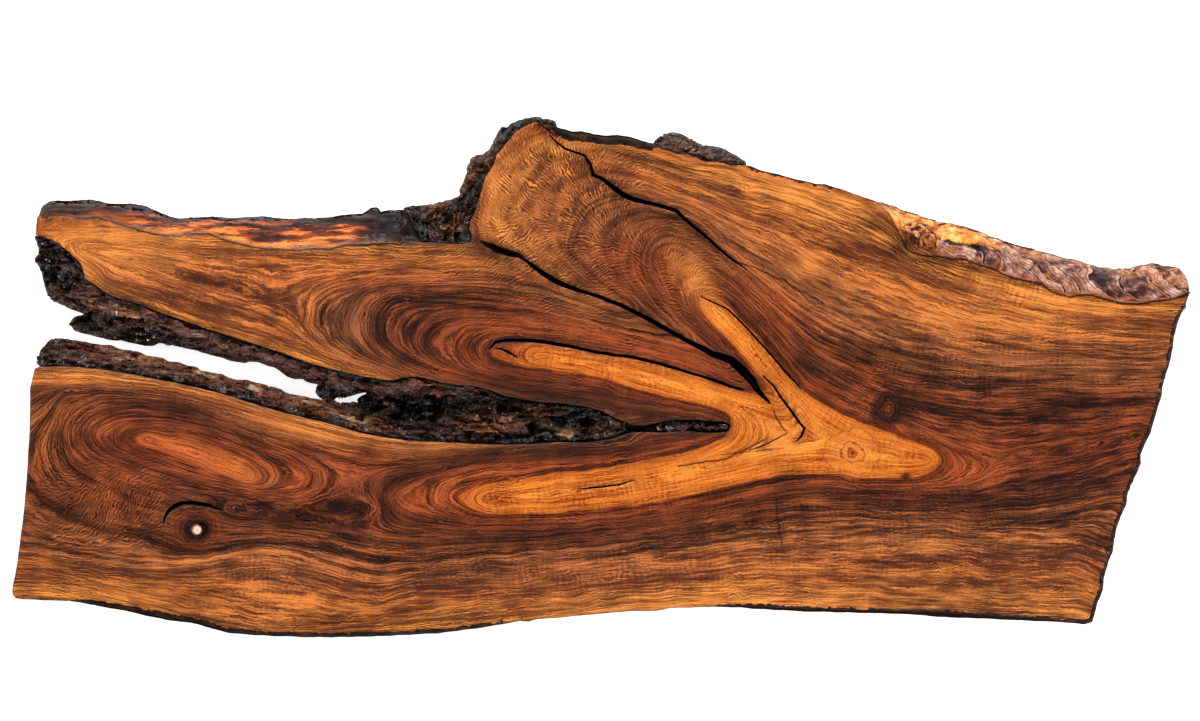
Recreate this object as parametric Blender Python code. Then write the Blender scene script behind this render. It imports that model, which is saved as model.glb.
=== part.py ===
# Walnut slab: one board sawn through the fork of a walnut tree, with its bark, drying cracks and one round knot.
# Lengths are in millimetres. Outline points are measured from the slab's lower left corner, seen from above.
import math

import bmesh
import bpy
from mathutils import Vector, noise
from mathutils.geometry import delaunay_2d_cdt

# The slab as a whole
LENGTH = 1220.0
WIDTH = 541.0
THICKNESS = 50.0
METRE = 0.001

# How finely the edges and faces are stepped out
EDGE_STEP = 11.0
FACE_STEP = 62.0
BARK_STEP = 7.5
BARK_UNDER_STEP = 19.0
WAVER = 0.25

# The gap that is kept between bark and wood
BARK_GAP = 0.4

# How the waney edge falls from the sawn face: height above the bench, and share of the wane reached there
WANE_PROFILE = ((50.0, 0.0), (45.0, 0.34), (37.0, 0.66), (25.0, 0.9), (11.0, 1.0), (0.0, 0.95))
WANE_LUMP = 2.4
WANE_LUMP_SHARE = 0.09
WANE_LUMP_SIZE = 17.0
SAWN_LUMP = 0.35
SAWN_LUMP_SIZE = 6.0

# Live and sawn edges of the wood. Each point is x, y of the outermost line, then how far in the flat face starts.
BOTTOM_EDGE = (
    (10, 40, 0.6), (45, 38.5, 0.8), (60, 37.5, 1.5), (80, 33.5, 3), (100, 29, 4.5), (123, 24.5, 6),
    (140, 20.5, 6), (160, 16.5, 6), (184, 14, 5), (200, 9.5, 5), (211, 6.5, 5), (223, 3.5, 4),
    (250, 1.5, 3), (280, 0.8, 1.6), (308, 0.3, 1), (350, 0.4, 1), (390, 1.2, 1.5), (420, 3, 1.5),
    (441, 3.6, 2), (460, 6.5, 1), (492, 11, 1), (512, 14.5, 1), (526, 17, 1), (535, 15.8, 2.5), (543, 18.4, 1.5),
    (574, 21, 1.5), (609, 24.3, 1.5), (633, 26.4, 1.5), (669, 27.4, 2), (682, 30.3, 1.5), (723, 31.3, 1.5),
    (756, 30.5, 2.5), (769, 28.4, 4.5), (800, 27, 4.5), (831, 25.6, 4.5), (890, 24.3, 4), (938, 22.4, 5),
    (960, 20.2, 6.5), (978, 19.3, 6.5), (1000, 18.6, 5.5), (1038, 17.1, 4.5), (1070, 15.8, 3.5), (1092, 14.8, 2),
    (1110, 14, 0.8),
)
RIGHT_END = (
    (1119, 17, 1), (1121, 24, 1), (1125, 38, 1.2), (1130, 50, 1), (1131.5, 60, 2), (1134, 68, 2.5), (1137, 80, 2),
    (1141, 91, 1.5), (1142, 101, 1.5), (1144, 110, 2), (1147.5, 121, 2.5), (1151, 130, 2), (1155.5, 139, 3),
    (1157, 150, 3), (1160.5, 160, 2), (1166, 171, 2), (1169.5, 181, 1.5), (1170, 190, 2), (1174, 201, 1.5),
    (1179, 212, 1.2), (1183, 225, 1.2), (1187, 239, 1.2), (1191, 251, 1.2), (1192.5, 261, 2), (1196, 273, 2),
    (1200, 286, 2), (1203, 300, 2), (1204.5, 312, 2), (1207, 322, 2), (1211, 333, 3), (1215.5, 343, 2.5),
    (1219.6, 356, 1.2),
)
TOP_RIGHT_EDGE = (
    (1219.6, 365, 7), (1217, 377, 20.5), (1211, 384, 30), (1198, 387, 36.5), (1184, 389, 40), (1174, 387, 40),
    (1164, 384, 38), (1148, 383, 36), (1130, 385, 34), (1120, 387.5, 33), (1109, 390.5, 35), (1094, 394, 41),
    (1077, 398.6, 40), (1066, 402, 35), (1046, 408, 37), (1030, 413, 38), (1014, 418.3, 35), (1002, 423.5, 38),
    (987, 428.6, 37), (975, 430.5, 38), (961, 432.7, 38), (951, 436, 41), (941, 439, 43), (928, 443, 42),
    (917, 447, 24), (908, 450, 11), (903, 451.5, 7), (890, 455.5, 4), (878, 459.6, 3), (860, 466, 2.5),
    (843, 471, 2), (833, 471.5, 2), (824, 474, 2), (808, 477, 2.5), (793, 482, 3), (776, 485.5, 2), (765, 489.8, 1.5),
)
TOP_MIDDLE_EDGE = (
    (659, 514.2, 2), (653, 516.5, 3), (641, 520.6, 3.5), (627, 522.7, 3.5), (615, 521.6, 3.5), (602, 523.7, 4),
    (590, 526.8, 4.5), (580, 526, 4), (572, 528.5, 3.5),
)
TOP_LEFT_EDGE = (
    (402, 444.6, 37), (388, 444, 35), (380, 442.6, 35), (376, 447, 39), (370, 446.6, 39), (361, 441, 34),
    (346, 439, 32), (330, 438, 35), (315, 437, 34), (300, 436.4, 35), (280, 436, 34), (257, 436.5, 33),
    (240, 436.2, 29), (222, 435.8, 24), (205, 437.5, 19), (190, 436.8, 18), (175, 436.8, 20), (160, 438, 21),
    (150, 441, 23), (140, 446, 26), (130, 450, 27), (120, 450.8, 25), (108, 451, 21), (90, 453.5, 18),
    (76, 455.5, 21), (60, 454, 17), (42, 454.2, 16), (33, 453.4, 18), (29, 450.5, 16),
)
UPPER_LEFT_END = ((26.2, 436, 0.8), (25.2, 428, 0.8), (25, 421.5, 0.8))
LOWER_LEFT_END = (
    (23.5, 279, 0.8), (21, 268, 0.8), (18.6, 258, 0.8), (18.8, 241, 0.8), (18.4, 225, 0.8), (17.8, 205, 0.8),
    (16.6, 190, 0.8), (15.4, 168, 0.8), (13.6, 146, 0.8), (11.6, 125, 0.8), (9.2, 108, 0.8), (7, 90, 0.8),
    (5, 76, 1), (3, 65, 1), (1, 56, 1), (0, 49.5, 1), (1, 44.5, 1), (4, 41.5, 1),
)

# Lines where the wood meets bark
NOTCH_BANK = (
    (563, 530), (552, 533), (541, 534.5), (531, 530), (521, 523.5), (515, 515.5), (508, 507), (502, 500),
    (500, 492), (496, 484.5), (491, 478), (488.5, 470), (486, 462), (484.5, 455.5), (482, 450), (480.5, 443),
    (477, 436), (474.5, 430), (473.5, 424), (476, 419), (477, 415), (474, 410), (468, 408), (455, 408.3),
    (445, 409), (435, 410), (424, 409.5), (421, 418), (415, 427), (411, 437), (405, 443.5),
)
PATCH_BANK = (
    (761, 489.4), (754, 489.6), (746, 489.4), (730, 493.6), (717, 494), (708, 498), (700, 501), (690, 501),
    (675, 506), (665, 512),
)
UPPER_BANK = (
    (25, 417.5), (33, 415), (40, 412), (50, 407), (60, 399), (67, 393.5), (72, 388), (75, 380), (77, 372),
    (85, 367), (92, 362), (101, 355.5), (115, 350.5), (130, 346.5), (145, 341), (160, 335), (180, 328),
    (200, 321), (220, 314.5), (240, 308), (260, 301.5), (280, 295), (300, 288), (315, 283), (330, 279),
    (345, 275.5), (360, 272), (372, 270), (385, 267.5), (395, 267), (405, 270), (420, 271), (432, 268.5),
    (446, 264.5), (462, 261.8), (480, 261), (495, 257), (510, 251), (530, 247), (547, 244.5), (563, 243.5),
    (580, 241.5), (596, 239.5), (610, 235.5), (619, 231), (629, 226), (643, 221), (653, 220.5), (663, 222),
    (675, 224.5), (687, 226), (708, 226), (725, 225), (737, 224.5), (745, 220.5),
)
LOWER_BANK = (
    (741, 214), (732, 212.8), (720, 212.6), (702, 214.5), (688, 213.8), (673, 212.6), (658, 213.4), (643, 213.4),
    (633, 211), (622, 207), (609, 204.5), (595, 203), (570, 203), (547, 202), (524, 201), (505, 200.4),
    (485, 201), (465, 202.2), (440, 203.2), (420, 204), (400, 206), (380, 209), (360, 213), (340, 219),
    (320, 224.5), (300, 229), (285, 232.5), (270, 237), (250, 243), (230, 249.5), (210, 255), (190, 260),
    (170, 264.5), (150, 268.5), (130, 272.4), (110, 276), (90, 279), (70, 281), (50, 281.6), (30, 281.6),
)

# Free edges of the bark
SPLIT_LOWER_EDGE = (
    (24.6, 286), (26, 292), (29, 299), (32, 304.5), (38, 309), (47, 309.3), (60, 307.3), (72, 306), (80, 304),
    (90, 302.3), (98, 302.6), (103, 299.6), (110, 297.4), (125, 296), (135, 291.3), (145, 290), (152, 289.3),
    (158, 285), (168, 284.6), (178, 280.6), (187, 280), (193, 275.6), (205, 273.4), (214, 272), (220, 268.2),
    (230, 266), (241, 266.3), (250, 263), (262, 260), (273, 257.3), (281, 252), (292, 250), (306, 247.2),
    (317, 245.2),
)
SPLIT_UPPER_EDGE = (
    (321.5, 244.8), (323, 246.8), (317, 250), (313.5, 254.5), (315, 259.5), (318.5, 264), (311, 264.6),
    (304, 266.6), (299, 269.6), (289, 269.2), (283, 272), (277, 277), (271.5, 281.4), (263, 283.6),
    (254, 287.2), (241.5, 288), (239, 286), (228, 287.6), (214, 292), (200, 295.8), (188, 299.2), (174, 302.2),
    (160, 305.4), (150, 307.2), (146, 306.6), (143, 304), (134, 304), (124, 306.4), (112, 309.4), (100, 310),
    (89, 312.6), (78, 315.6), (68, 317.6), (60, 320), (57.4, 324.5), (58.6, 329), (63, 332.6), (71, 334),
    (80, 334.8), (84, 336), (79, 336.6), (70, 338), (60, 341.5), (50, 346), (40, 350), (35.6, 353.5),
    (34, 359), (31.6, 366), (29.6, 374), (27, 382), (24, 388), (21.2, 391.5), (22.4, 395.8), (27, 400),
    (26.4, 408), (25, 413.5),
)
SPLIT_HOLE = (
    (331, 246), (334.5, 242.7), (342, 242.4), (350, 242.4), (356, 243.6), (357, 247), (362, 250.4), (369, 253.6),
    (369.5, 256), (360, 255), (350, 252), (340, 249),
)
NOTCH_EDGE = (
    (407, 445.3), (413, 447), (425, 447.6), (435, 449), (442, 451), (455, 453.4), (461, 457), (466, 459.6),
    (463.6, 463.5), (467.5, 470), (470, 477), (471.6, 487), (475, 496), (480, 500.2), (487, 500), (491, 503.4),
    (495, 505), (497, 510.6), (500.5, 517), (503, 524), (507.4, 529.4), (513, 527.8), (517, 532.6), (525, 536),
    (535, 538.4), (543, 541), (549, 537.6), (555.5, 537.4), (562, 534),
)
PATCH_EDGE = (
    (667.5, 515.6), (671.5, 518.6), (677, 522.7), (684, 524), (693, 521.6), (699, 518.4), (705, 516.6),
    (710, 513), (715, 510.3), (723, 508.8), (731, 508.3), (740, 505), (744, 502.4), (749, 500.6), (754, 495.8),
    (758.5, 493.4),
)

# Drying cracks in the sawn face: x, y and the width there, then the depth of each crack
CROWN_CRACK = (
    (557, 521, 1.2), (565, 512.5, 2.2), (573, 506.5, 2.4), (583, 503, 2.4), (593, 499.5, 2.6), (599, 490, 3.4),
    (602, 479.5, 4.6), (612, 475, 4.2), (622, 467, 5.2), (633, 459, 6), (644, 454, 5.6), (660, 450.3, 4.4),
    (676, 446.3, 4.4), (688, 442.3, 4.6), (696, 434.6, 3.8), (706, 425.6, 3.2), (721, 413.2, 2.6), (733, 402, 2.4),
    (745, 392, 1.8), (761, 381, 1.2),
)
CROWN_HAIRLINE = ((547, 532, 1), (556, 525, 1.6), (565, 517.6, 1.2))
FORK_SEAM = (
    (484, 411.4, 1.5), (492, 407.6, 5.5), (503, 402.6, 8.5), (515, 398.6, 8), (526, 396, 5), (532, 391, 3),
    (540, 385, 4.4), (550, 377.6, 5.6), (562, 370, 6), (575, 364.4, 5.4), (590, 359, 4), (602, 355.6, 4),
    (628, 346, 4.4), (648, 336, 4.6), (667, 325.8, 5), (685, 316, 5), (698, 308.6, 5), (710, 302.6, 5.6),
    (726, 294, 7), (744, 288, 9), (757, 276.6, 10), (767, 266, 9), (772, 257, 6.4), (779, 249.4, 4.4), (785, 242.6, 2),
)
HEART_CRACK = (
    (494, 299, 1.5), (501, 306.6, 3), (515, 308.6, 3.8), (530, 308.4, 4), (544, 307.6, 4), (563, 304.6, 4),
    (587, 300.2, 3.8), (604, 296.2, 3.6), (624, 293, 3.6), (643, 291, 3.6), (659, 287, 3.4), (682, 280.7, 3.2),
    (702, 274.5, 3), (723, 268.3, 3), (742, 261.2, 3), (758, 256.6, 2),
)
HEART_SPLINTER = ((500, 300.6, 1.2), (507, 299.4, 2.4), (515, 295.6, 3), (524, 290.4, 1.4))
BRANCH_CRACK = (
    (713, 354, 1), (722, 349.6, 1.6), (741, 340.4, 2), (756, 326, 2.2), (772, 308.6, 2.2), (788, 291, 2.2),
    (800, 276.4, 2.2), (811, 265, 1.8), (817, 258, 1),
)
TRUNK_CRACK = (
    (777, 272.6, 1.4), (788, 262, 2.2), (797, 248, 2.6), (808, 233.4, 3), (815, 224, 3), (820.6, 217, 3),
    (817, 209, 2.4), (811, 203, 1),
)
TRUNK_HAIRLINE = ((803, 212.6, 1), (791, 206.2, 1.4), (776, 199, 1.4), (762, 194, 0.9))
LOWER_CRACK = ((586, 154.4, 1), (598, 155.6, 2), (611, 156.8, 2.4), (628, 159, 2.2), (645, 163.8, 1))
KNOT_CRACK = (
    (157, 117.6, 1), (158.6, 124.4, 2.6), (162.4, 131.6, 4), (169, 137, 4.6), (177, 140, 4.4), (186, 140.8, 4.4),
    (195, 139.4, 4.4), (204, 137.8, 4), (212, 135, 2.6), (220, 132.2, 1),
)
CRACKS = (
    (CROWN_CRACK, 17.0), (CROWN_HAIRLINE, 7.0), (FORK_SEAM, 20.0), (HEART_CRACK, 16.0), (HEART_SPLINTER, 7.0),
    (BRANCH_CRACK, 12.0), (TRUNK_CRACK, 15.0), (TRUNK_HAIRLINE, 6.0), (LOWER_CRACK, 9.0), (KNOT_CRACK, 14.0),
)
CRACK_ABOVE = 4.0
CRACK_FOOT_SHARE = 0.3
CRACK_END_DEPTH = 3.0

# The burl on the waney edge at upper right
BURL_AT = (937.0, 409.0)
BURL_RADIUS = 22.0
BURL_HEIGHT = 6.0

# The round knot at lower left, with its pale core
KNOT_AT = (191.5, 112.8)
CORE_RADIUS = 5.7
CORE_DEPTH = 9.0
CORE_GAP = 0.35
CORE_BELOW_FACE = 0.5
CORE_SIDES = 28

# The bark in the split: a dark groove along the wood, a slope out to the free edge, a pit in the crotch, and a flake
SPLIT_BELOW_FACE = 2.0
SPLIT_GROOVE = 9.0
SPLIT_GROOVE_WIDTH = 4.5
SPLIT_GROOVE_FROM = (90.0, 150.0)
SPLIT_SLOPE = 29.0
SPLIT_SLOPE_STEEPEST = 1.3
SPLIT_PIT = 9.0
SPLIT_PIT_STEEPEST = 0.6
SPLIT_PIT_FROM = (300.0, 360.0)
SPLIT_PIT_TO = (640.0, 720.0)
SPLIT_LUMP = 5.0
SPLIT_LUMP_SIZE = (21.0, 8.0)
FLAKE_AT = (498.0, 220.0)
FLAKE_HALF = (40.0, 12.0)
FLAKE_RISE = 9.0

# The bark in the notch and the patch right of the crown
NOTCH_BELOW_FACE = 3.5
NOTCH_SLOPE = 15.0
NOTCH_LUMP = 6.0
NOTCH_LUMP_SIZE = (11.0, 9.0)
PATCH_BELOW_FACE = 2.0
PATCH_SLOPE = 14.0
PATCH_LUMP = 4.0
PATCH_LUMP_SIZE = (10.0, 7.0)
CRUST_SLOPE_STEEPEST = 2.0
LUMPS_CLEAR_OF_WOOD = 5.0

# All bark: how far it stays under the sawn face and over the bench, and how its side swells
BARK_HIGHEST = 49.2
BARK_FOOT = 1.2
BARK_FOOT_LUMP = 2.0
BARK_FOOT_LUMP_SIZE = 16.0
SIDE_HEIGHT_SHARE = 0.45
SIDE_SWELL = 0.5
SIDE_LUMP = 0.9
SIDE_LUMP_SIZE = 7.0
SIDE_CLEAR_OF_WOOD = 12.0


def clear_scene():
    for thing in list(bpy.data.objects):
        bpy.data.objects.remove(thing, do_unlink=True)


def material(name, colour, roughness):
    made = bpy.data.materials.new(name)
    made.use_nodes = True
    shader = made.node_tree.nodes["Principled BSDF"]
    shader.inputs["Base Color"].default_value = (*colour, 1.0)
    shader.inputs["Roughness"].default_value = roughness
    shader.inputs["Metallic"].default_value = 0.0
    return made


def place(x, y, z):
    """A point in metres in the slab's own frame, whose origin is under the middle of its bounding box."""
    return Vector(((x - LENGTH / 2) * METRE, (y - WIDTH / 2) * METRE, z * METRE))


def finish(name, mesh_data, made_of):
    bmesh.ops.recalc_face_normals(mesh_data, faces=mesh_data.faces)
    mesh = bpy.data.meshes.new(name)
    mesh_data.to_mesh(mesh)
    mesh_data.free()
    thing = bpy.data.objects.new(name, mesh)
    bpy.context.collection.objects.link(thing)
    if made_of:
        mesh.materials.append(made_of)
    return thing


def walk(points, step):
    """Stations along a line of points. Long stretches are stepped out evenly, and waver a little to either side."""
    stations = []
    for first, second in zip(points, points[1:]):
        length = math.dist(first[:2], second[:2])
        parts = max(1, round(length / step))
        for part in range(parts):
            share = part / parts
            station = [a + (b - a) * share for a, b in zip(first, second)]
            if part:
                off = WAVER * (-1) ** part / length
                station[0] += off * (second[1] - first[1])
                station[1] -= off * (second[0] - first[0])
            stations.append(tuple(station))
    stations.append(tuple(float(value) for value in points[-1]))
    return stations


def lump(x, y, z, size):
    return noise.noise(Vector((x / size, y / size, z / size)))


def edge_stations(points, outward, roughness):
    return [(x, y, wane, outward, roughness) for x, y, wane in walk(points, EDGE_STEP)]


def bank_stations(points):
    return [(x, y, 0.0, (0.0, 0.0), 0.0) for x, y in walk(points, EDGE_STEP)]


def wood_stations():
    """Once round the wood, anticlockwise seen from above."""
    return (
        edge_stations(BOTTOM_EDGE, (0.0, -1.0), SAWN_LUMP)
        + edge_stations(RIGHT_END, (1.0, 0.0), 2 * SAWN_LUMP)
        + edge_stations(TOP_RIGHT_EDGE, (0.0, 1.0), SAWN_LUMP)
        + bank_stations(PATCH_BANK)
        + edge_stations(TOP_MIDDLE_EDGE, (0.0, 1.0), SAWN_LUMP)
        + bank_stations(NOTCH_BANK)
        + edge_stations(TOP_LEFT_EDGE, (0.0, 1.0), SAWN_LUMP)
        + edge_stations(UPPER_LEFT_END, (-1.0, 0.0), SAWN_LUMP)
        + bank_stations(UPPER_BANK)
        + bank_stations(LOWER_BANK)
        + edge_stations(LOWER_LEFT_END, (-1.0, 0.0), SAWN_LUMP)
    )


def wane_point(station, height, share):
    """The wood's surface at a station and a height: the wane with its lumps, and the burl standing on it."""
    x, y, wane, outward, roughness = station
    inset = wane * (1.0 - share)
    px = x - outward[0] * inset
    py = y - outward[1] * inset
    pz = height
    if 0.0 < share < 0.95:
        swell = min(WANE_LUMP, WANE_LUMP_SHARE * wane)
        pz += swell * lump(px, py, height, WANE_LUMP_SIZE)
        py += outward[1] * swell * lump(py, px, height, WANE_LUMP_SIZE)
        from_burl = math.dist((px, py), BURL_AT) / BURL_RADIUS
        if from_burl < 1.0:
            pz = min(THICKNESS - 1.0, pz + BURL_HEIGHT * (1.0 - from_burl ** 2))
    if 0.0 < share and roughness:
        ragged = roughness * lump(px, py, height, SAWN_LUMP_SIZE)
        px += outward[0] * ragged
        py += outward[1] * ragged
    return px, py, pz


def triangulated(loops, inner_points):
    """Triangles over a flat outline, with holes, as point numbers into the list of all its points."""
    points = []
    edges = []
    for loop in loops:
        start = len(points)
        count = len(loop)
        points += [Vector(point[:2]) for point in loop]
        edges += [(start + i, start + (i + 1) % count) for i in range(count)]
    points += [Vector(point[:2]) for point in inner_points]
    solved = delaunay_2d_cdt(points, edges, [], 0, 1e-5)
    faces = []
    for face in solved[2]:
        middle = sum((solved[0][i] for i in face), Vector((0.0, 0.0))) / len(face)
        if inside(middle, loops[0]) and not any(inside(middle, hole) for hole in loops[1:]):
            faces.append([solved[3][i][0] for i in face])
    return faces


def inside(point, loop):
    odd = False
    x, y = point[0], point[1]
    for (ax, ay), (bx, by) in zip([p[:2] for p in loop], [p[:2] for p in loop[1:] + loop[:1]]):
        if (ay > y) != (by > y) and x < ax + (y - ay) * (bx - ax) / (by - ay):
            odd = not odd
    return odd


def distance(point, line, closed=False):
    """How far a point lies from a line of points."""
    best = math.inf
    ends = list(line[1:]) + ([line[0]] if closed else [])
    for (ax, ay), (bx, by) in zip(line, ends):
        dx, dy = bx - ax, by - ay
        along = ((point[0] - ax) * dx + (point[1] - ay) * dy) / max(dx * dx + dy * dy, 1e-9)
        along = max(0.0, min(1.0, along))
        best = min(best, math.hypot(point[0] - ax - along * dx, point[1] - ay - along * dy))
    return best


def scatter(loops, step, clearance):
    """Points on a staggered grid, a little shifted each, that lie inside an outline and clear of its edge."""
    outer = [point[:2] for point in loops[0]]
    low_x = min(point[0] for point in outer)
    high_x = max(point[0] for point in outer)
    low_y = min(point[1] for point in outer)
    high_y = max(point[1] for point in outer)
    found = []
    row = 0
    y = low_y + step * 0.4
    while y < high_y:
        x = low_x + step * (0.3 + 0.5 * (row % 2))
        while x < high_x:
            shifted = (x + 0.22 * step * lump(x, y, 3.0, 5.0), y + 0.22 * step * lump(x, y, 70.0, 5.0))
            clear = all(distance(shifted, [p[:2] for p in loop], True) > clearance for loop in loops)
            if clear and inside(shifted, outer) and not any(inside(shifted, hole) for hole in loops[1:]):
                found.append(shifted)
            x += step
        y += step * 0.87
        row += 1
    return found


def make_wood(made_of):
    stations = wood_stations()
    count = len(stations)
    shape = bmesh.new()
    rings = []
    for height, share in WANE_PROFILE:
        rings.append([shape.verts.new(place(*wane_point(station, height, share))) for station in stations])
    for upper, lower in zip(rings, rings[1:]):
        for i in range(count):
            j = (i + 1) % count
            shape.faces.new((upper[i], lower[i], lower[j]))
            shape.faces.new((upper[i], lower[j], upper[j]))
    for ring, (height, share), turn in ((rings[0], WANE_PROFILE[0], 1), (rings[-1], WANE_PROFILE[-1], -1)):
        loop = [wane_point(station, height, share)[:2] for station in stations]
        middle = scatter([loop], FACE_STEP, FACE_STEP * 0.3)
        corners = ring + [shape.verts.new(place(x, y, height)) for x, y in middle]
        for face in triangulated([loop], middle):
            shape.faces.new([corners[i] for i in face[::turn]])
    return finish("slab_wood", shape, made_of)


def crack_blade(number, line, depth):
    """A tapered blade along a crack: wide at the sawn face, thin at its foot, shallow at both ends."""
    points = walk(line, EDGE_STEP)
    shape = bmesh.new()
    sections = []
    for i, (x, y, width) in enumerate(points):
        before = points[max(0, i - 1)]
        after = points[min(len(points) - 1, i + 1)]
        along = Vector((after[0] - before[0], after[1] - before[1])).normalized()
        side = Vector((-along.y, along.x))
        end = i in (0, len(points) - 1)
        foot = THICKNESS - (CRACK_END_DEPTH if end else depth)
        half = width / 2
        slope = half * (1.0 - CRACK_FOOT_SHARE) / (THICKNESS - foot)
        top_half = half + slope * CRACK_ABOVE
        section = []
        for reach, height in ((top_half, THICKNESS + CRACK_ABOVE), (half * CRACK_FOOT_SHARE, foot)):
            for sign in (1, -1):
                section.append(shape.verts.new(place(x + side.x * reach * sign, y + side.y * reach * sign, height)))
        sections.append(section)
    for (a, b, c, d), (e, f, g, h) in zip(sections, sections[1:]):
        for face in ((a, e, f), (a, f, b), (b, f, h), (b, h, d), (d, h, g), (d, g, c), (c, g, e), (c, e, a)):
            shape.faces.new(face)
    first = sections[0]
    last = sections[-1]
    shape.faces.new((first[0], first[1], first[3], first[2]))
    shape.faces.new((last[0], last[2], last[3], last[1]))
    return as_cutter(finish(f"crack_blade_{number}", shape, None))


def as_cutter(thing):
    thing.hide_render = True
    thing.display_type = "WIRE"
    return thing


def cut(thing, cutter):
    step = thing.modifiers.new(cutter.name, "BOOLEAN")
    step.operation = "DIFFERENCE"
    step.solver = "EXACT"
    step.object = cutter
    bpy.ops.object.select_all(action="DESELECT")
    thing.select_set(True)
    bpy.context.view_layer.objects.active = thing
    bpy.ops.object.modifier_apply(modifier=step.name)
    bpy.data.objects.remove(cutter, do_unlink=True)


def disc(name, radius, low, high, made_of):
    shape = bmesh.new()
    bmesh.ops.create_cone(
        shape,
        cap_ends=True,
        segments=CORE_SIDES,
        radius1=radius * METRE,
        radius2=radius * METRE,
        depth=(high - low) * METRE,
    )
    bmesh.ops.translate(shape, verts=shape.verts, vec=place(*KNOT_AT, (low + high) / 2))
    return finish(name, shape, made_of)


def moved_off(line, gap):
    """The line shifted to its right by the gap, mitred at its corners."""
    shifted = []
    for i, (x, y) in enumerate(line):
        before = Vector(line[max(0, i - 1)])
        here = Vector((x, y))
        after = Vector(line[min(len(line) - 1, i + 1)])
        steps = [(b - a).normalized() for a, b in ((before, here), (here, after)) if (b - a).length > 0]
        normals = [Vector((step.y, -step.x)) for step in steps]
        normal = sum(normals, Vector((0.0, 0.0))).normalized()
        reach = gap / max(0.5, normal.dot(normals[0]))
        shifted.append((x + normal.x * reach, y + normal.y * reach))
    return shifted


def bark_body(name, banks, edges, hole, top, made_of):
    """Bark between a bank of wood and its own free edge: a lumpy top, a rounded side and a rough foot."""
    bank_points = [point for line in banks for point in walk(line, EDGE_STEP)]
    bank = moved_off(bank_points, BARK_GAP)
    edge = [point for line in edges for point in walk(line, BARK_STEP)]
    free_line = [bank[-1]] + edge + [bank[0]]
    loops = [bank + edge] + ([hole] if hole else [])

    def from_free(point):
        away = distance(point, free_line)
        return min(away, distance(point, hole, True)) if hole else away

    shape = bmesh.new()
    ledge = [
        point for point in moved_off(bank_points[2:-2], BARK_GAP + SPLIT_GROOVE_WIDTH)
        if inside(point, loops[0]) and not (hole and inside(point, hole))
        and distance(point, bank) > 0.8 * SPLIT_GROOVE_WIDTH and from_free(point) > 0.5 * SPLIT_GROOVE_WIDTH
    ]
    field = [
        point for point in scatter(loops, BARK_STEP, 0.45 * BARK_STEP)
        if distance(point, bank) > 1.5 * SPLIT_GROOVE_WIDTH
    ]
    upper_inner = ledge + field
    lower_inner = scatter(loops, BARK_UNDER_STEP, 0.5 * BARK_UNDER_STEP)
    rim = [point for loop in loops for point in loop]
    free = [False] * len(bank) + [True] * (len(rim) - len(bank))
    heights = [top(point, distance(point, bank), from_free(point)) for point in rim + upper_inner]
    feet = [bark_foot(point) for point in rim + lower_inner]
    upper = [shape.verts.new(place(x, y, z)) for (x, y), z in zip(rim + upper_inner, heights)]
    lower = [shape.verts.new(place(x, y, z)) for (x, y), z in zip(rim + lower_inner, feet)]
    for face in triangulated(loops, upper_inner):
        shape.faces.new([upper[i] for i in face])
    for face in triangulated(loops, lower_inner):
        shape.faces.new([lower[i] for i in reversed(face)])
    start = 0
    for loop in loops:
        count = len(loop)
        middle = []
        for i in range(count):
            x, y = loop[i]
            before = Vector(loop[i - 1])
            after = Vector(loop[(i + 1) % count])
            along = (after - before).normalized()
            swell = 0.0
            if free[start + i]:
                swell = SIDE_SWELL + SIDE_LUMP * lump(x, y, 0.0, SIDE_LUMP_SIZE)
                swell *= min(1.0, distance((x, y), bank) / SIDE_CLEAR_OF_WOOD)
            height = feet[start + i] + SIDE_HEIGHT_SHARE * (heights[start + i] - feet[start + i])
            middle.append(shape.verts.new(place(x + along.y * swell, y - along.x * swell, height)))
        for i in range(count):
            j = (i + 1) % count
            for high, low in ((upper[start:start + count], middle), (middle, lower[start:start + count])):
                shape.faces.new((high[i], low[i], low[j]))
                shape.faces.new((high[i], low[j], high[j]))
        start += count
    return finish(name, shape, made_of)


def ramp(value, low, high):
    """0 below low, 1 above high, and straight between."""
    return max(0.0, min(1.0, (value - low) / (high - low)))


def split_top(point, from_bank, from_edge):
    x, y = point
    share = from_bank / max(from_bank + from_edge, BARK_GAP)
    groove = SPLIT_GROOVE * max(0.25, ramp(x, *SPLIT_GROOVE_FROM))
    height = THICKNESS - SPLIT_BELOW_FACE - groove * (1.0 - ramp(from_bank, 0.0, SPLIT_GROOVE_WIDTH))
    height -= min(SPLIT_SLOPE, SPLIT_SLOPE_STEEPEST * from_bank) * share ** 1.3
    deep = ramp(x, *SPLIT_PIT_FROM) * (1.0 - ramp(x, *SPLIT_PIT_TO))
    height -= deep * min(SPLIT_PIT, SPLIT_PIT_STEEPEST * from_bank)
    height += bark_lump(point, SPLIT_LUMP, SPLIT_LUMP_SIZE, from_bank)
    off_x = (x - FLAKE_AT[0]) / FLAKE_HALF[0]
    off_y = (y - FLAKE_AT[1]) / FLAKE_HALF[1]
    height += FLAKE_RISE * max(0.0, 1.0 - off_x * off_x - off_y * off_y)
    return min(height, BARK_HIGHEST)


def notch_top(point, from_bank, from_edge):
    share = from_bank / max(from_bank + from_edge, BARK_GAP)
    height = THICKNESS - NOTCH_BELOW_FACE
    height -= min(NOTCH_SLOPE, CRUST_SLOPE_STEEPEST * from_bank) * share ** 2
    return min(height + bark_lump(point, NOTCH_LUMP, NOTCH_LUMP_SIZE, from_bank), BARK_HIGHEST)


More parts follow.
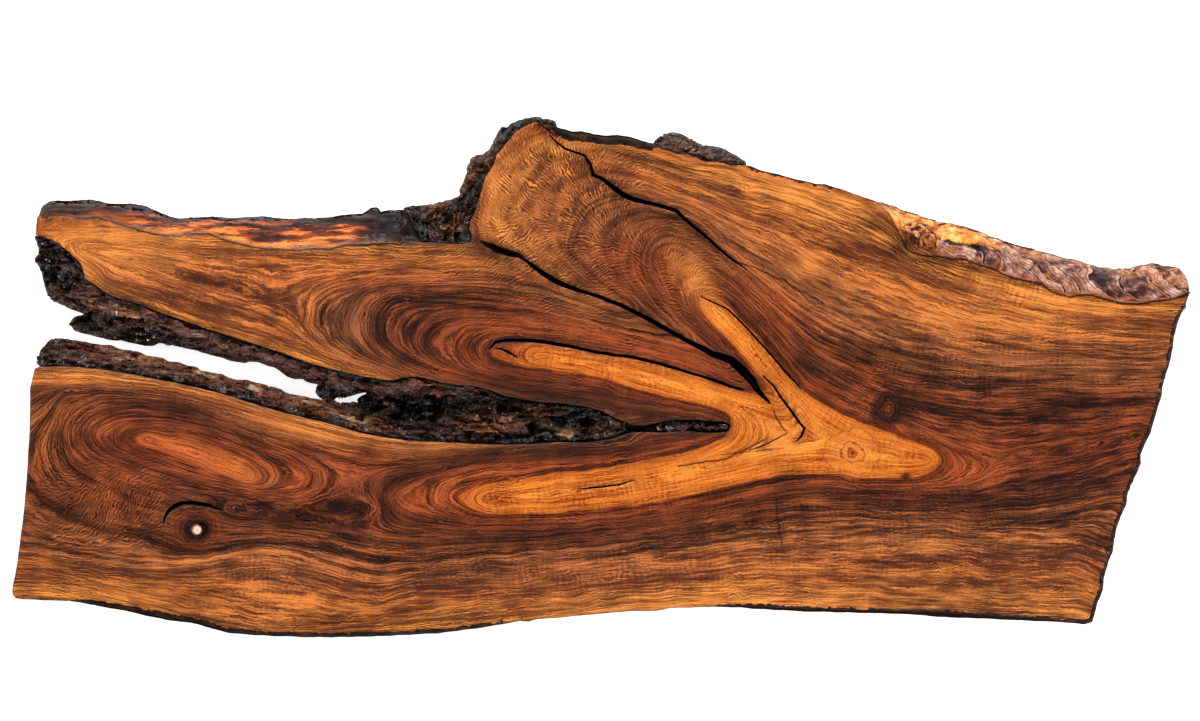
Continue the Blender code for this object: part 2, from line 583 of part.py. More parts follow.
def patch_top(point, from_bank, from_edge):
    share = from_bank / max(from_bank + from_edge, BARK_GAP)
    height = THICKNESS - PATCH_BELOW_FACE
    height -= min(PATCH_SLOPE, CRUST_SLOPE_STEEPEST * from_bank) * share ** 2
    return min(height + bark_lump(point, PATCH_LUMP, PATCH_LUMP_SIZE, from_bank), BARK_HIGHEST)


def bark_lump(point, height, size, from_bank):
    """Lumps that die out where the bark meets the wood."""
    spot = Vector((point[0] / size[0], point[1] / size[1], 0.0))
    return height * noise.noise(spot) * ramp(from_bank, 0.0, LUMPS_CLEAR_OF_WOOD)


def bark_foot(point):
    return BARK_FOOT + BARK_FOOT_LUMP * abs(lump(*point, 0.0, BARK_FOOT_LUMP_SIZE))


def main():
    clear_scene()
    wood = material("walnut_wood", (0.27, 0.105, 0.04), 0.38)
    bark = material("walnut_bark", (0.035, 0.024, 0.018), 0.6)
    pale = material("pale_core", (0.72, 0.55, 0.38), 0.5)

    slab = make_wood(wood)
    for number, (line, depth) in enumerate(CRACKS, start=1):
        cut(slab, crack_blade(number, line, depth))
    core_top = THICKNESS - CORE_BELOW_FACE
    core_foot = core_top - CORE_DEPTH
    socket = disc("core_socket", CORE_RADIUS + CORE_GAP, core_foot - CORE_GAP, THICKNESS + CRACK_ABOVE, None)
    cut(slab, as_cutter(socket))
    disc("knot_core", CORE_RADIUS, core_foot, core_top, pale)

    split_edges = (SPLIT_LOWER_EDGE, SPLIT_UPPER_EDGE)
    bark_body("bark_split", (UPPER_BANK, LOWER_BANK), split_edges, list(SPLIT_HOLE), split_top, bark)
    bark_body("bark_notch", (NOTCH_BANK,), (NOTCH_EDGE,), None, notch_top, bark)
    bark_body("bark_top_patch", (PATCH_BANK,), (PATCH_EDGE,), None, patch_top, bark)


main()
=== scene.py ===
import math

import bpy
import numpy as np
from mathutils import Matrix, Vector, kdtree, noise
from mathutils.geometry import delaunay_2d_cdt


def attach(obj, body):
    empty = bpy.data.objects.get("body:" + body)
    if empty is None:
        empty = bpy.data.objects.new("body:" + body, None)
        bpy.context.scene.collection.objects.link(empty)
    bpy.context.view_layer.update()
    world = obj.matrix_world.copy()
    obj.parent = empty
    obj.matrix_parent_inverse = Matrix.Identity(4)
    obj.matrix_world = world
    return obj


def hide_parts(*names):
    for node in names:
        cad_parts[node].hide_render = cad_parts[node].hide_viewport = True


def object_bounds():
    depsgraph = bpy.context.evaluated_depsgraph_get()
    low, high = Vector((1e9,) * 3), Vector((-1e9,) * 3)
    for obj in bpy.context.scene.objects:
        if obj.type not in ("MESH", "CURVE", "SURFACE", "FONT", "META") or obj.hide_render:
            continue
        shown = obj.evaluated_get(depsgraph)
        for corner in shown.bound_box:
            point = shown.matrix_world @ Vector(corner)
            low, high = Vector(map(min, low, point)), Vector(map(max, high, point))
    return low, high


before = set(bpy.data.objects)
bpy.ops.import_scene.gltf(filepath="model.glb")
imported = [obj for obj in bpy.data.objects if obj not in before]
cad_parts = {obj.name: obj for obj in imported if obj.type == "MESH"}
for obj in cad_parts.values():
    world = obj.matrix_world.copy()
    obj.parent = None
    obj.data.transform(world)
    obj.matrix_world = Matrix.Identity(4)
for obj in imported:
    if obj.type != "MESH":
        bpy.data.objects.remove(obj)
cad_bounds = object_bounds()


# The slab's body: one board sawn through the fork of a walnut tree, 50 mm thick, its top sanded and oiled.
# The CAD solid is copied, its sawn faces are filled again with a fine net of points, and the growth of the
# tree is laid through it: lines of equal growth, worked out between the lines that show in the face.
LENGTH = 1220.0
WIDTH = 541.0
THICKNESS = 50.0
FACE_NET = 3.8
UNDERSIDE_NET = 10.0
WALL_NET = 4.6
NET_CLEARANCE = 1.9
GROWTH_CELL = 4.0
COARSEST_CELL = 30.0
SETTLING_ROUNDS = 260
GROWTH_SOFTENING = 3
GRAIN_SOFTENING = 14
NET_SEED = 7
ON_FACE = 0.05
POINTS_AT_ONCE = 4000

# Growth: 0 in the pith of a limb, 0.22 where the pale heart ends, 1 at the bark. Points in mm from the lower left.
GROWTH_LINES = ((0.0, ((540, 293), (600, 283), (680, 264), (760, 238), (800, 220))),
    (0.0, ((490, 145), (560, 150), (640, 160), (720, 178), (790, 195), (830, 200))),
    (0.0, ((720, 345), (760, 305), (800, 258), (825, 225))), (0.0,
    ((825, 215), (870, 192), (920, 185), (950, 184))), (0.22,
    ((455, 147), (480, 156), (500, 160), (540, 167), (560, 171), (600, 174), (640, 181), (680, 189), (710, 197),
    (730, 206), (742, 214))), (0.22, ((455, 147), (470, 136), (490, 130), (520, 128), (560, 129), (600, 132),
    (640, 137), (680, 143), (720, 152), (760, 161), (800, 168), (830, 169), (870, 165), (915, 162), (940, 166),
    (955, 174), (964, 184))), (0.22, ((964, 184), (958, 194), (947, 201), (932, 208), (912, 215), (892, 224),
    (872, 233), (852, 239), (834, 247), (821, 256), (808, 278), (797, 292), (781, 309), (764, 328), (748, 343),
    (726, 354), (713, 355))), (0.22, ((712, 352), (714, 341), (722, 330), (735, 315), (745, 305), (755, 292),
    (765, 280), (775, 270), (790, 255), (800, 243))), (0.22, ((494, 299), (515, 307), (544, 307), (587, 300),
    (624, 293), (659, 287), (702, 274), (742, 261), (771, 251))),
    (0.22, ((494, 297), (500, 290), (515, 283), (540, 279), (580, 277), (610, 270), (640, 260), (665, 252),
    (700, 244), (720, 240), (733, 232), (742, 222))), (0.35, ((395, 146), (430, 166), (480, 178), (560, 184),
    (640, 192), (700, 203), (736, 214))), (0.35, ((395, 146), (420, 132), (480, 120), (560, 119), (640, 126),
    (720, 140), (780, 155), (840, 165), (900, 158), (960, 158), (1000, 170), (1010, 182), (960, 200), (930, 212),
    (890, 228), (850, 244), (820, 262), (800, 290), (760, 335), (730, 360), (700, 362), (700, 345), (715, 325),
    (735, 305), (755, 285))), (0.35, ((470, 300), (480, 312), (500, 316), (560, 312), (620, 304))),
    (0.35, ((470, 300), (480, 288), (510, 276), (560, 270), (620, 262))),
    (0.34, ((118, 208), (140, 212), (160, 208), (200, 200), (240, 182), (260, 166), (245, 162), (210, 175),
    (170, 189), (130, 203), (118, 208))), (0.27, ((135, 207), (180, 195), (230, 175), (250, 168))),
    (0.42, ((90, 212), (110, 224), (150, 226), (200, 215), (240, 200), (290, 180), (310, 165), (290, 150),
    (240, 155), (200, 163), (150, 180), (105, 198), (90, 212))),
    (0.52, ((62, 215), (80, 236), (130, 243), (190, 236), (250, 215), (320, 193), (380, 180), (420, 178),
    (480, 188))), (0.52, ((62, 215), (70, 190), (110, 175), (160, 160), (220, 148), (300, 140), (380, 135))),
    (0.62, ((45, 215), (55, 250), (100, 256), (160, 250), (220, 232), (280, 214), (340, 198), (400, 190),
    (460, 192), (520, 196), (600, 199), (640, 205))), (0.8, ((25, 262), (100, 262), (160, 257), (220, 243),
    (280, 225), (340, 208), (400, 197), (500, 199))), (1.0, ((25, 281), (90, 279), (150, 268), (210, 255),
    (270, 237), (320, 224), (360, 213), (420, 204), (505, 200))),
    (0.5, ((220, 132), (260, 127), (320, 118), (400, 108), (480, 108), (560, 110), (640, 118), (720, 130),
    (780, 140), (840, 146), (900, 142), (960, 140), (1020, 142), (1080, 148), (1130, 158), (1165, 166))),
    (0.66, ((170, 92), (200, 88), (220, 93), (240, 99), (262, 102), (290, 100), (320, 95), (350, 87), (380, 79),
    (410, 78), (460, 84), (520, 90), (600, 96), (680, 106), (740, 118), (800, 126), (860, 127), (940, 124),
    (1000, 121), (1060, 126), (1100, 133), (1150, 142))), (0.72,
    ((10, 98), (60, 90), (100, 85), (140, 80), (180, 82), (200, 84), (220, 88), (240, 93), (262, 95), (290, 90),
    (320, 82), (350, 73), (375, 68), (400, 70), (460, 76), (520, 80), (560, 84), (620, 88), (660, 95), (700, 100),
    (760, 107), (820, 112), (880, 116), (940, 115), (1000, 113), (1060, 112), (1120, 113))),
    (0.8, ((10, 80), (60, 74), (120, 66), (180, 62), (220, 65), (260, 68), (300, 64), (330, 54), (360, 43),
    (385, 41), (410, 50), (460, 52), (520, 57), (580, 62), (660, 70), (740, 78), (820, 82), (900, 82), (1000, 78),
    (1110, 74))), (0.88, ((20, 62), (60, 57), (100, 47), (140, 38), (200, 25), (260, 14), (320, 12), (380, 18),
    (460, 28), (540, 36), (620, 46), (700, 52), (800, 52), (900, 46), (1000, 42), (1110, 38))),
    (1.0, ((10, 38), (60, 35), (140, 18), (211, 4), (280, -2), (390, -1), (460, 4), (535, 12), (669, 24), (756, 27),
    (890, 21), (1000, 15), (1110, 10))), (0.5, ((410, 350), (393, 345), (382, 328), (384, 316), (392, 303),
    (404, 294), (420, 286), (440, 278), (500, 262), (560, 250))),
    (0.5, ((410, 350), (470, 345), (540, 338), (600, 325), (680, 303), (740, 280))),
    (0.4, ((500, 330), (450, 325), (430, 303), (445, 285), (480, 272), (540, 262), (600, 255), (660, 243),
    (720, 234))), (0.4, ((500, 330), (560, 322), (640, 305), (720, 283), (760, 262))),
    (0.62, ((385, 359), (370, 350), (361, 326), (367, 306), (381, 292), (406, 278), (440, 268))),
    (0.62, ((385, 360), (430, 359), (480, 359), (540, 352), (580, 340), (600, 332), (640, 322), (690, 311))),
    (0.77, ((70, 403), (110, 397), (160, 384), (200, 371), (240, 359), (280, 347), (306, 337))),
    (0.705, ((640, 333), (580, 352), (540, 364), (500, 368), (420, 369), (370, 366), (335, 357), (316, 340),
    (314, 325), (330, 305), (360, 288), (400, 274), (440, 264))),
    (0.83, ((60, 413), (150, 406), (250, 396), (350, 389), (420, 387), (480, 387), (520, 384))),
    (0.84, ((95, 374), (130, 362), (170, 347), (220, 329), (270, 313), (320, 297))),
    (0.76, ((380, 279), (440, 265), (500, 257), (560, 249), (620, 238), (700, 231), (735, 228))),
    (1.0, ((25, 421), (90, 420), (200, 417), (300, 412), (400, 410), (424, 409), (477, 410), (503, 402), (540, 385),
    (575, 364), (628, 346))), (0.95, ((40, 405), (77, 372), (115, 350), (160, 335), (220, 314), (280, 295),
    (345, 275), (395, 267))), (0.36, ((1010, 182), (1060, 190), (1120, 200), (1175, 212))),
    (0.45, ((1172, 188), (1120, 175), (1060, 163), (1000, 153), (940, 150))),
    (0.45, ((1185, 236), (1100, 228), (1020, 224), (960, 230), (900, 246), (870, 262), (835, 280), (802, 305),
    (775, 340), (745, 368), (715, 390), (690, 404), (668, 398), (672, 380), (685, 352), (705, 328), (735, 298),
    (755, 278))), (0.55, ((1190, 262), (1100, 260), (1000, 258), (940, 264), (880, 280), (835, 303), (800, 330),
    (765, 362), (730, 392), (700, 416), (675, 425), (655, 410), (652, 380), (672, 345), (700, 316), (740, 290))),
    (0.7, ((1195, 286), (1120, 284), (1040, 284), (960, 293), (900, 307), (850, 326), (810, 350), (775, 376),
    (740, 402), (705, 435), (640, 455), (600, 440), (580, 400), (610, 370), (660, 335), (700, 312))),
    (0.85, ((1200, 325), (1080, 335), (980, 360), (900, 395), (820, 425), (740, 450), (660, 480), (600, 495),
    (560, 480))), (0.85, ((520, 440), (550, 400), (590, 368), (640, 342))),
    (1.0, ((1215, 350), (1148, 352), (1060, 368), (980, 392), (940, 400), (905, 442), (843, 468), (765, 490),
    (690, 503), (615, 522), (541, 535), (502, 498), (484, 455), (478, 412))))


def place(x, y, z):
    """A point in metres in the slab's own frame, whose origin is under the middle of its bounding box."""
    return ((x - LENGTH / 2) / 1000, (y - WIDTH / 2) / 1000, z / 1000)


def select_only(thing):
    bpy.ops.object.select_all(action="DESELECT")
    thing.select_set(True)
    bpy.context.view_layer.objects.active = thing


def copy_of_solid(name, title):
    """A merged copy of a CAD solid, with its place in its mesh."""
    thing = bpy.data.objects.new(title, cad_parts[name].data.copy())
    bpy.context.scene.collection.objects.link(thing)
    thing.data.materials.clear()
    select_only(thing)
    bpy.ops.object.mode_set(mode="EDIT")
    bpy.ops.mesh.select_all(action="SELECT")
    bpy.ops.mesh.remove_doubles(threshold=1e-6)
    bpy.ops.object.mode_set(mode="OBJECT")
    return thing


def corners_mm(thing):
    found = np.empty(len(thing.data.vertices) * 3, np.float64)
    thing.data.vertices.foreach_get("co", found)
    return found.reshape(-1, 3) * 1000 + np.array((LENGTH / 2, WIDTH / 2, 0.0))


def corner_normals(thing):
    found = np.empty(len(thing.data.vertices) * 3)
    thing.data.vertices.foreach_get("normal", found)
    return found.reshape(-1, 3)


def set_corners_mm(thing, points):
    thing.data.vertices.foreach_set("co", ((points - np.array((LENGTH / 2, WIDTH / 2, 0.0))) / 1000).ravel())
    thing.data.update()


def edge_ends(thing):
    found = np.empty(len(thing.data.edges) * 2, np.int64)
    thing.data.edges.foreach_get("vertices", found)
    return found.reshape(-1, 2)


def open_edges(thing):
    """The edges that only one face uses."""
    used = np.empty(len(thing.data.loops), np.int64)
    thing.data.loops.foreach_get("edge_index", used)
    return np.nonzero(np.bincount(used, minlength=len(thing.data.edges)) == 1)[0]


def delete_flat_faces(thing, height):
    """Takes out the triangles that lie in one of the two sawn faces."""
    points = corners_mm(thing)
    level = np.abs(points[:, 2] - height) < 0.01
    for face in thing.data.polygons:
        face.select = all(level[i] for i in face.vertices)
    for edge in thing.data.edges:
        edge.select = False
    for corner in thing.data.vertices:
        corner.select = False
    bpy.ops.object.mode_set(mode="EDIT")
    bpy.ops.mesh.select_mode(type="FACE")
    bpy.ops.mesh.delete(type="FACE")
    bpy.ops.object.mode_set(mode="OBJECT")


def split_long_edges(thing, longest):
    """Halves the edges over a length until none is left, keeping triangles."""
    for _ in range(5):
        points = corners_mm(thing)
        ends = edge_ends(thing)
        long = np.linalg.norm(points[ends[:, 0]] - points[ends[:, 1]], axis=1) > longest
        if not long.any():
            break
        thing.data.polygons.foreach_set("select", np.zeros(len(thing.data.polygons), bool))
        thing.data.vertices.foreach_set("select", np.zeros(len(thing.data.vertices), bool))
        thing.data.edges.foreach_set("select", long)
        bpy.ops.object.mode_set(mode="EDIT")
        bpy.ops.mesh.select_mode(type="EDGE")
        bpy.ops.mesh.subdivide(number_cuts=1, smoothness=0)
        bpy.ops.mesh.select_all(action="SELECT")
        bpy.ops.mesh.quads_convert_to_tris(quad_method="BEAUTY", ngon_method="BEAUTY")
        bpy.ops.object.mode_set(mode="OBJECT")


def odd_crossings(points, starts, ends):
    """Whether each point lies inside the outline that the given edges make, counting the edges to its right."""
    odd = np.zeros(len(points), bool)
    for low in range(0, len(points), POINTS_AT_ONCE):
        x = points[low:low + POINTS_AT_ONCE, 0:1]
        y = points[low:low + POINTS_AT_ONCE, 1:2]
        spans = (starts[:, 1] > y) != (ends[:, 1] > y)
        rise = np.where(np.abs(ends[:, 1] - starts[:, 1]) < 1e-12, 1e-12, ends[:, 1] - starts[:, 1])
        at = starts[:, 0] + (y - starts[:, 1]) * (ends[:, 0] - starts[:, 0]) / rise
        odd[low:low + POINTS_AT_ONCE] = (spans & (x < at)).sum(axis=1) % 2 == 1
    return odd


def sawn_face(thing, height, net, title):
    """A sheet of small triangles that fills the outline left open at one height, cracks and all."""
    points = corners_mm(thing)
    ends = edge_ends(thing)[open_edges(thing)]
    ends = ends[np.abs(points[ends[:, 0], 2] - height) < 0.01]
    rim = np.unique(ends)
    number = {corner: i for i, corner in enumerate(rim)}
    rim_points = points[rim]
    starts, stops = points[ends[:, 0], :2], points[ends[:, 1], :2]
    rows = []
    generator = np.random.default_rng(NET_SEED)
    for row, y in enumerate(np.arange(2.0, WIDTH, net * 0.87)):
        xs = np.arange(1.0 + 0.5 * net * (row % 2), LENGTH, net)
        rows.append(np.column_stack((xs, np.full(len(xs), y))))
    inner = np.concatenate(rows)
    inner += generator.uniform(-0.2, 0.2, inner.shape) * net
    inner = inner[odd_crossings(inner, starts, stops)]
    near = kdtree.KDTree(len(rim))
    for i, point in enumerate(rim_points):
        near.insert((point[0], point[1], 0.0), i)
    near.balance()
    clear = np.array([near.find((x, y, 0.0))[2] > NET_CLEARANCE for x, y in inner])
    inner = inner[clear]
    flat = [Vector(point) for point in rim_points[:, :2]] + [Vector(point) for point in inner]
    solved = delaunay_2d_cdt(flat, [(number[a], number[b]) for a, b in ends], [], 0, 1e-6)
    found = np.array([tuple(point) for point in solved[0]])
    faces = np.array([face for face in solved[2] if len(face) == 3])
    kept = faces[odd_crossings(found[faces].mean(axis=1), starts, stops)]
    exact = found.copy()
    for i, origin in enumerate(solved[3]):
        if origin and origin[0] < len(rim):
            exact[i] = rim_points[origin[0], :2]
    mesh = bpy.data.meshes.new(title)
    mesh.from_pydata([place(x, y, height) for x, y in exact], [], kept.tolist())
    sheet = bpy.data.objects.new(title, mesh)
    bpy.context.scene.collection.objects.link(sheet)
    return sheet


def islands(thing):
    """A number for each corner: corners that edges join share one."""
    ends = edge_ends(thing)
    label = np.arange(len(thing.data.vertices))
    while True:
        lower = np.minimum(label[ends[:, 0]], label[ends[:, 1]])
        fresh = label.copy()
        np.minimum.at(fresh, ends[:, 0], lower)
        np.minimum.at(fresh, ends[:, 1], lower)
        fresh = fresh[fresh]
        if (fresh == label).all():
            return label
        label = fresh


slab = copy_of_solid("slab_wood", "walnut_board")
delete_flat_faces(slab, THICKNESS)
delete_flat_faces(slab, 0.0)
split_long_edges(slab, WALL_NET)
corners = corners_mm(slab)
label = islands(slab)
reaches_bench = np.zeros(len(label), bool)
reaches_bench[np.unique(label[corners[:, 2] < 1.0])] = True
in_crack = slab.data.attributes.new("in_crack", "FLOAT", "POINT")
in_crack.data.foreach_set("value", (~reaches_bench[label]).astype(np.float32))
face_sheet = sawn_face(slab, THICKNESS, FACE_NET, "sanded_face")
under_sheet = sawn_face(slab, 0.0, UNDERSIDE_NET, "underside")
select_only(slab)
face_sheet.select_set(True)
under_sheet.select_set(True)
bpy.ops.object.join()
bpy.ops.object.mode_set(mode="EDIT")
bpy.ops.mesh.select_all(action="SELECT")
bpy.ops.mesh.remove_doubles(threshold=1e-6)
bpy.ops.mesh.normals_make_consistent(inside=False)
bpy.ops.object.mode_set(mode="OBJECT")


def smooth_step(value, low, high):
    t = np.clip((value - low) / (high - low), 0.0, 1.0)
    return t * t * (3 - 2 * t)


def relaxed_growth(cell):
    """Growth over the whole board: the known lines hold their value, and what lies between settles smoothly."""
    size = (int(WIDTH / cell) + 3, int(LENGTH / cell) + 3)
    known = np.full(size, np.nan)
    for value, line in GROWTH_LINES:
        for (ax, ay), (bx, by) in zip(line, line[1:]):
            steps = max(2, int(math.dist((ax, ay), (bx, by)) / (0.4 * cell)) + 1)
            for share in np.linspace(0.0, 1.0, steps):
                row = int(round((ay + (by - ay) * share) / cell)) + 1
                column = int(round((ax + (bx - ax) * share) / cell)) + 1
                if 0 <= row < size[0] and 0 <= column < size[1]:
                    known[row, column] = value
    fixed = ~np.isnan(known)
    if cell >= COARSEST_CELL:
        field = np.where(fixed, known, 0.8)
    else:
        coarse = relaxed_growth(cell * 2)
        rows = np.clip((np.arange(size[0]) - 1) / 2 + 1, 0, coarse.shape[0] - 1.001)
        columns = np.clip((np.arange(size[1]) - 1) / 2 + 1, 0, coarse.shape[1] - 1.001)
        field = between(coarse, rows[:, None], columns[None, :])
        field = np.where(fixed, known, field)
    for _ in range(SETTLING_ROUNDS):
        padded = np.pad(field, 1, mode="edge")
        mean = (padded[:-2, 1:-1] + padded[2:, 1:-1] + padded[1:-1, :-2] + padded[1:-1, 2:]) / 4
        field = np.where(fixed, known, mean)
    return field


def between(field, rows, columns):
    """Values of a field at places between its cells."""
    row = np.floor(rows).astype(int)
    column = np.floor(columns).astype(int)
    up = rows - row
    along = columns - column
    low = field[row, column] * (1 - along) + field[row, column + 1] * along
    high = field[row + 1, column] * (1 - along) + field[row + 1, column + 1] * along
    return low * (1 - up) + high * up


def softened(field, times):
    for _ in range(times):
        padded = np.pad(field, 1, mode="edge")
        around = padded[:-2, 1:-1] + padded[2:, 1:-1] + padded[1:-1, :-2] + padded[1:-1, 2:]
        field = field * 0.5 + around * 0.125
    return field


growth_field = softened(relaxed_growth(GROWTH_CELL), GROWTH_SOFTENING)
slope_y, slope_x = np.gradient(growth_field)
lean_cos = softened(slope_x ** 2 - slope_y ** 2, GRAIN_SOFTENING)
lean_sin = softened(2 * slope_x * slope_y, GRAIN_SOFTENING)
lean_size = np.sqrt(lean_cos ** 2 + lean_sin ** 2) + 1e-9


# The shape of the edges: the waney edges keep the tree's own surface, lumpy at upper left and scalloped by the
# axe at upper right, and the right end is left rough from the saw.
RIDGE_SPACING = 23.0
RIDGE_DEPTH = 3.6
BURL_AT = (938.0, 410.0)
BURL_SIZE = 20.0
ROUGH_DEPTH = 0.7
GRAIN_OF_WALLS = 0.25
WALL_STEEPNESS = 0.6
WANE_STEEPNESS = 0.35
SLAB_CREASE = 38

corners = corners_mm(slab)
x, y, z = corners.T
normals = corner_normals(slab)
crack_share = np.empty(len(corners))
slab.data.attributes["in_crack"].data.foreach_get("value", crack_share)
on_wall = (z < THICKNESS - ON_FACE) & (z > ON_FACE) & (crack_share < 0.5)
off_face = smooth_step(THICKNESS - z, 0.0, 3.0) * smooth_step(z, 0.0, 6.0)
upper_right = smooth_step(x, 880, 915) * smooth_step(y, 334, 342)
upper_left = smooth_step(430 - x, 0, 20) * smooth_step(y, 394, 400) * smooth_step(x, 24, 34)
right_end = smooth_step(x - (1105 + 0.27 * (y - 20)), 0, 6) * (1 - upper_right)
push = np.zeros(len(corners))
ridges = np.full(len(corners), 0.5)
for i in np.nonzero(on_wall)[0]:
    spot = Vector((x[i], y[i], z[i]))
    rough = noise.noise(spot / 5.0) + 0.5 * noise.noise(spot / 2.2)
    push[i] += ROUGH_DEPTH * right_end[i] * 1.3 * rough
    if upper_right[i] > 0:
        over = 0.9 * x[i] + 0.42 * (y[i] - 0.5 * z[i]) - 14.0 * smooth_step(z[i], 25, 50)
        ridges[i] = over / RIDGE_SPACING + 1.3 * noise.noise(spot / 34.0) + 0.2 * noise.noise(spot / 9.0)
        scallop = ridges[i] - math.floor(ridges[i])
        push[i] += upper_right[i] * (RIDGE_DEPTH * (scallop - 0.45) + 0.7 * rough) * smooth_step(z[i], 3, 20)
        from_burl = math.dist((x[i], y[i]), BURL_AT) / BURL_SIZE
        if from_burl < 1.3:
            knobs = noise.noise(spot / 6.0) + 0.5 * noise.noise(spot / 3.0)
            push[i] += 4.0 * max(0.0, 1.0 - from_burl ** 2) + 2.2 * knobs * (from_burl
                < 1.0) - 2.5 * (from_burl > 0.95)
    if upper_left[i] > 0:
        along = Vector((x[i] / 30.0, y[i] / 7.0, z[i] / 12.0))
        push[i] += upper_left[i] * (2.2 * noise.noise(along) + 0.5 * rough)
    push[i] += GRAIN_OF_WALLS * rough
corners = corners + normals * (push * off_face)[:, None]
wedge = smooth_step(x, 399, 405) * smooth_step(430 - x, 0, 4) * smooth_step(y, 409, 415) * smooth_step(z, 40, 49)
for i in np.nonzero(wedge > 0.01)[0]:
    corners[i, 2] -= wedge[i] * (3.5 + 3.0 * noise.noise(Vector((x[i], y[i], 0.0)) / 9.0) + 0.12 * (y[i] - 409))
low = np.array(cad_bounds[0]) * 1000 + np.array((LENGTH / 2, WIDTH / 2, 0.0))
high = np.array(cad_bounds[1]) * 1000 + np.array((LENGTH / 2, WIDTH / 2, 0.0))
corners = np.clip(corners, low, high)
set_corners_mm(slab, corners)


# The tones of the figure: darker, redder, golden and greyish places in the face, each a soft spot laid along the
# grain (x, y, half length, half width, turn in degrees, strength), and where the finish or the surface changes.
DARK_SPOTS = (
    (50, 135, 40, 14, 0, 0.7), (40, 248, 35, 8, 0, 0.6), (150, 240, 60, 8, -12, 0.8), (270, 120, 70, 10, 0, 0.7),
    (400, 165, 40, 12, 15, 0.8), (480, 188, 60, 9, 8, 0.9), (570, 193, 70, 7, 0, 0.9),
    (560, 250, 100, 15, -11, 1.0), (430, 320, 35, 25, 0, 0.5), (830, 280, 40, 15, -30, 0.4),
    (800, 160, 14, 18, 0, 0.6), (792, 85, 8, 40, 5, 0.25), (500, 398, 30, 7, -22, 0.8), (920, 403, 12, 10, 0, 0.9),
    (895, 425, 30, 6, -15, 0.4), (560, 108, 150, 14, 0, 0.6), (630, 365, 26, 34, 30, 0.45),
    (660, 232, 70, 9, -5, 1.0), (450, 122, 60, 8, 0, 0.5), (1100, 250, 90, 8, 0, 0.4), (926, 236, 10, 13, 0, 1.0),
    (892, 232, 5, 9, 0, 0.9), (905, 226, 14, 4, 0, 1.0), (950, 242, 30, 8, -10, 0.6), (870, 292, 60, 9, -18, 0.5),
    (60, 160, 40, 20, 0, 0.4), (280, 130, 90, 8, -3, 0.6), (592, 488, 14, 9, -40, 0.6), (480, 320, 50, 20, 0, 0.2),
    (1080, 210, 60, 24, 0, 0.25), (620, 506, 50, 7, -12, 0.5), (700, 476, 70, 9, -22, 0.4),
    (592, 372, 16, 18, 0, 0.6), (660, 360, 10, 40, 12, 0.5), (1010, 50, 70, 9, 2, 0.5), (70, 70, 60, 8, -5, 0.4),
    (190, 45, 60, 7, -10, 0.4), (380, 30, 60, 10, 5, 0.4), (40, 120, 20, 14, 0, 0.5), (140, 392, 40, 4, -4, 0.4),
    (180, 350, 60, 5, -14, 0.5), (430, 230, 60, 14, -10, 0.5), (600, 222, 110, 10, -4, 0.6),
    (520, 212, 40, 5, -3, 0.6), (520, 258, 60, 10, -12, 0.6), (940, 391, 24, 4, -4, 0.8),
)
RED_SPOTS = (
    (185, 190, 70, 14, -17, 0.8), (295, 160, 18, 22, 0, 0.6), (350, 178, 40, 12, 0, 0.6),
    (430, 148, 30, 14, 0, 0.6), (490, 325, 60, 10, 0, 0.6), (640, 380, 40, 25, -30, 0.7),
    (680, 235, 40, 8, -10, 0.5), (990, 178, 25, 16, 0, 0.6), (795, 340, 40, 20, -40, 0.6),
    (460, 272, 26, 10, -10, 0.6), (100, 150, 40, 30, 0, 0.4), (680, 120, 120, 8, 6, 0.4),
    (350, 372, 110, 7, 0, 0.4), (470, 147, 34, 14, 0, 0.6), (515, 297, 26, 7, -4, 0.7),
    (665, 298, 95, 11, -15, 1.0), (870, 285, 60, 10, -25, 0.5), (790, 225, 16, 30, 0, 0.5),
    (850, 258, 26, 8, -20, 0.5), (899, 247, 13, 8, 0, 0.9), (886, 262, 26, 6, 12, 0.5),
)
GOLD_SPOTS = (
    (100, 400, 70, 25, 0, 0.9), (500, 470, 14, 30, 0, 0.8), (487, 425, 8, 10, 0, 0.5), (590, 512, 40, 8, -5, 0.7),
    (820, 462, 40, 8, -15, 0.7), (1060, 345, 80, 20, 0, 0.7), (60, 270, 50, 6, 0, 0.6),
    (300, 215, 60, 10, -12, 0.5), (440, 197, 60, 7, 0, 0.4), (120, 42, 50, 8, -10, 0.6),
    (760, 38, 200, 10, 2, 0.6), (830, 144, 18, 4, -12, 0.3), (930, 66, 40, 6, 0, 0.4), (880, 448, 60, 8, -18, 1.0),
    (815, 385, 40, 16, -35, 0.45), (512, 462, 20, 45, -10, 0.6), (200, 188, 60, 8, -20, 0.45),
    (235, 172, 22, 7, -25, 0.5), (950, 420, 60, 6, -12, 0.5), (840, 460, 90, 7, -15, 1.0),
    (1010, 330, 110, 12, -4, 0.4), (706, 372, 34, 15, -55, 0.9), (500, 490, 16, 34, -25, 0.5),
    (940, 98, 60, 5, 3, 0.5), (790, 70, 50, 4, 2, 0.5),
)
GREY_SPOTS = (
    (270, 70, 45, 22, 0, 0.8), (120, 85, 30, 14, -20, 0.6), (480, 66, 60, 10, 0, 0.6), (620, 72, 80, 12, 0, 0.6),
    (900, 98, 120, 10, 0, 0.6), (1100, 275, 80, 10, 0, 0.6), (352, 328, 22, 30, 0, 0.9),
    (610, 335, 60, 14, -20, 0.5), (740, 430, 40, 15, -30, 0.6), (830, 354, 80, 14, -33, 0.8),
    (1040, 284, 130, 12, -2, 0.8), (900, 320, 70, 10, -16, 0.7), (540, 430, 30, 40, -30, 0.6),
    (630, 425, 30, 20, 0, 0.6), (840, 365, 50, 12, -20, 0.6),
)
FEATHERED_SPOTS = (
    (560, 450, 75, 80, 0, 1.0), (620, 400, 40, 40, 0, 0.8), (690, 380, 30, 40, 0, 0.7), (100, 140, 60, 34, 0, 0.8),
)
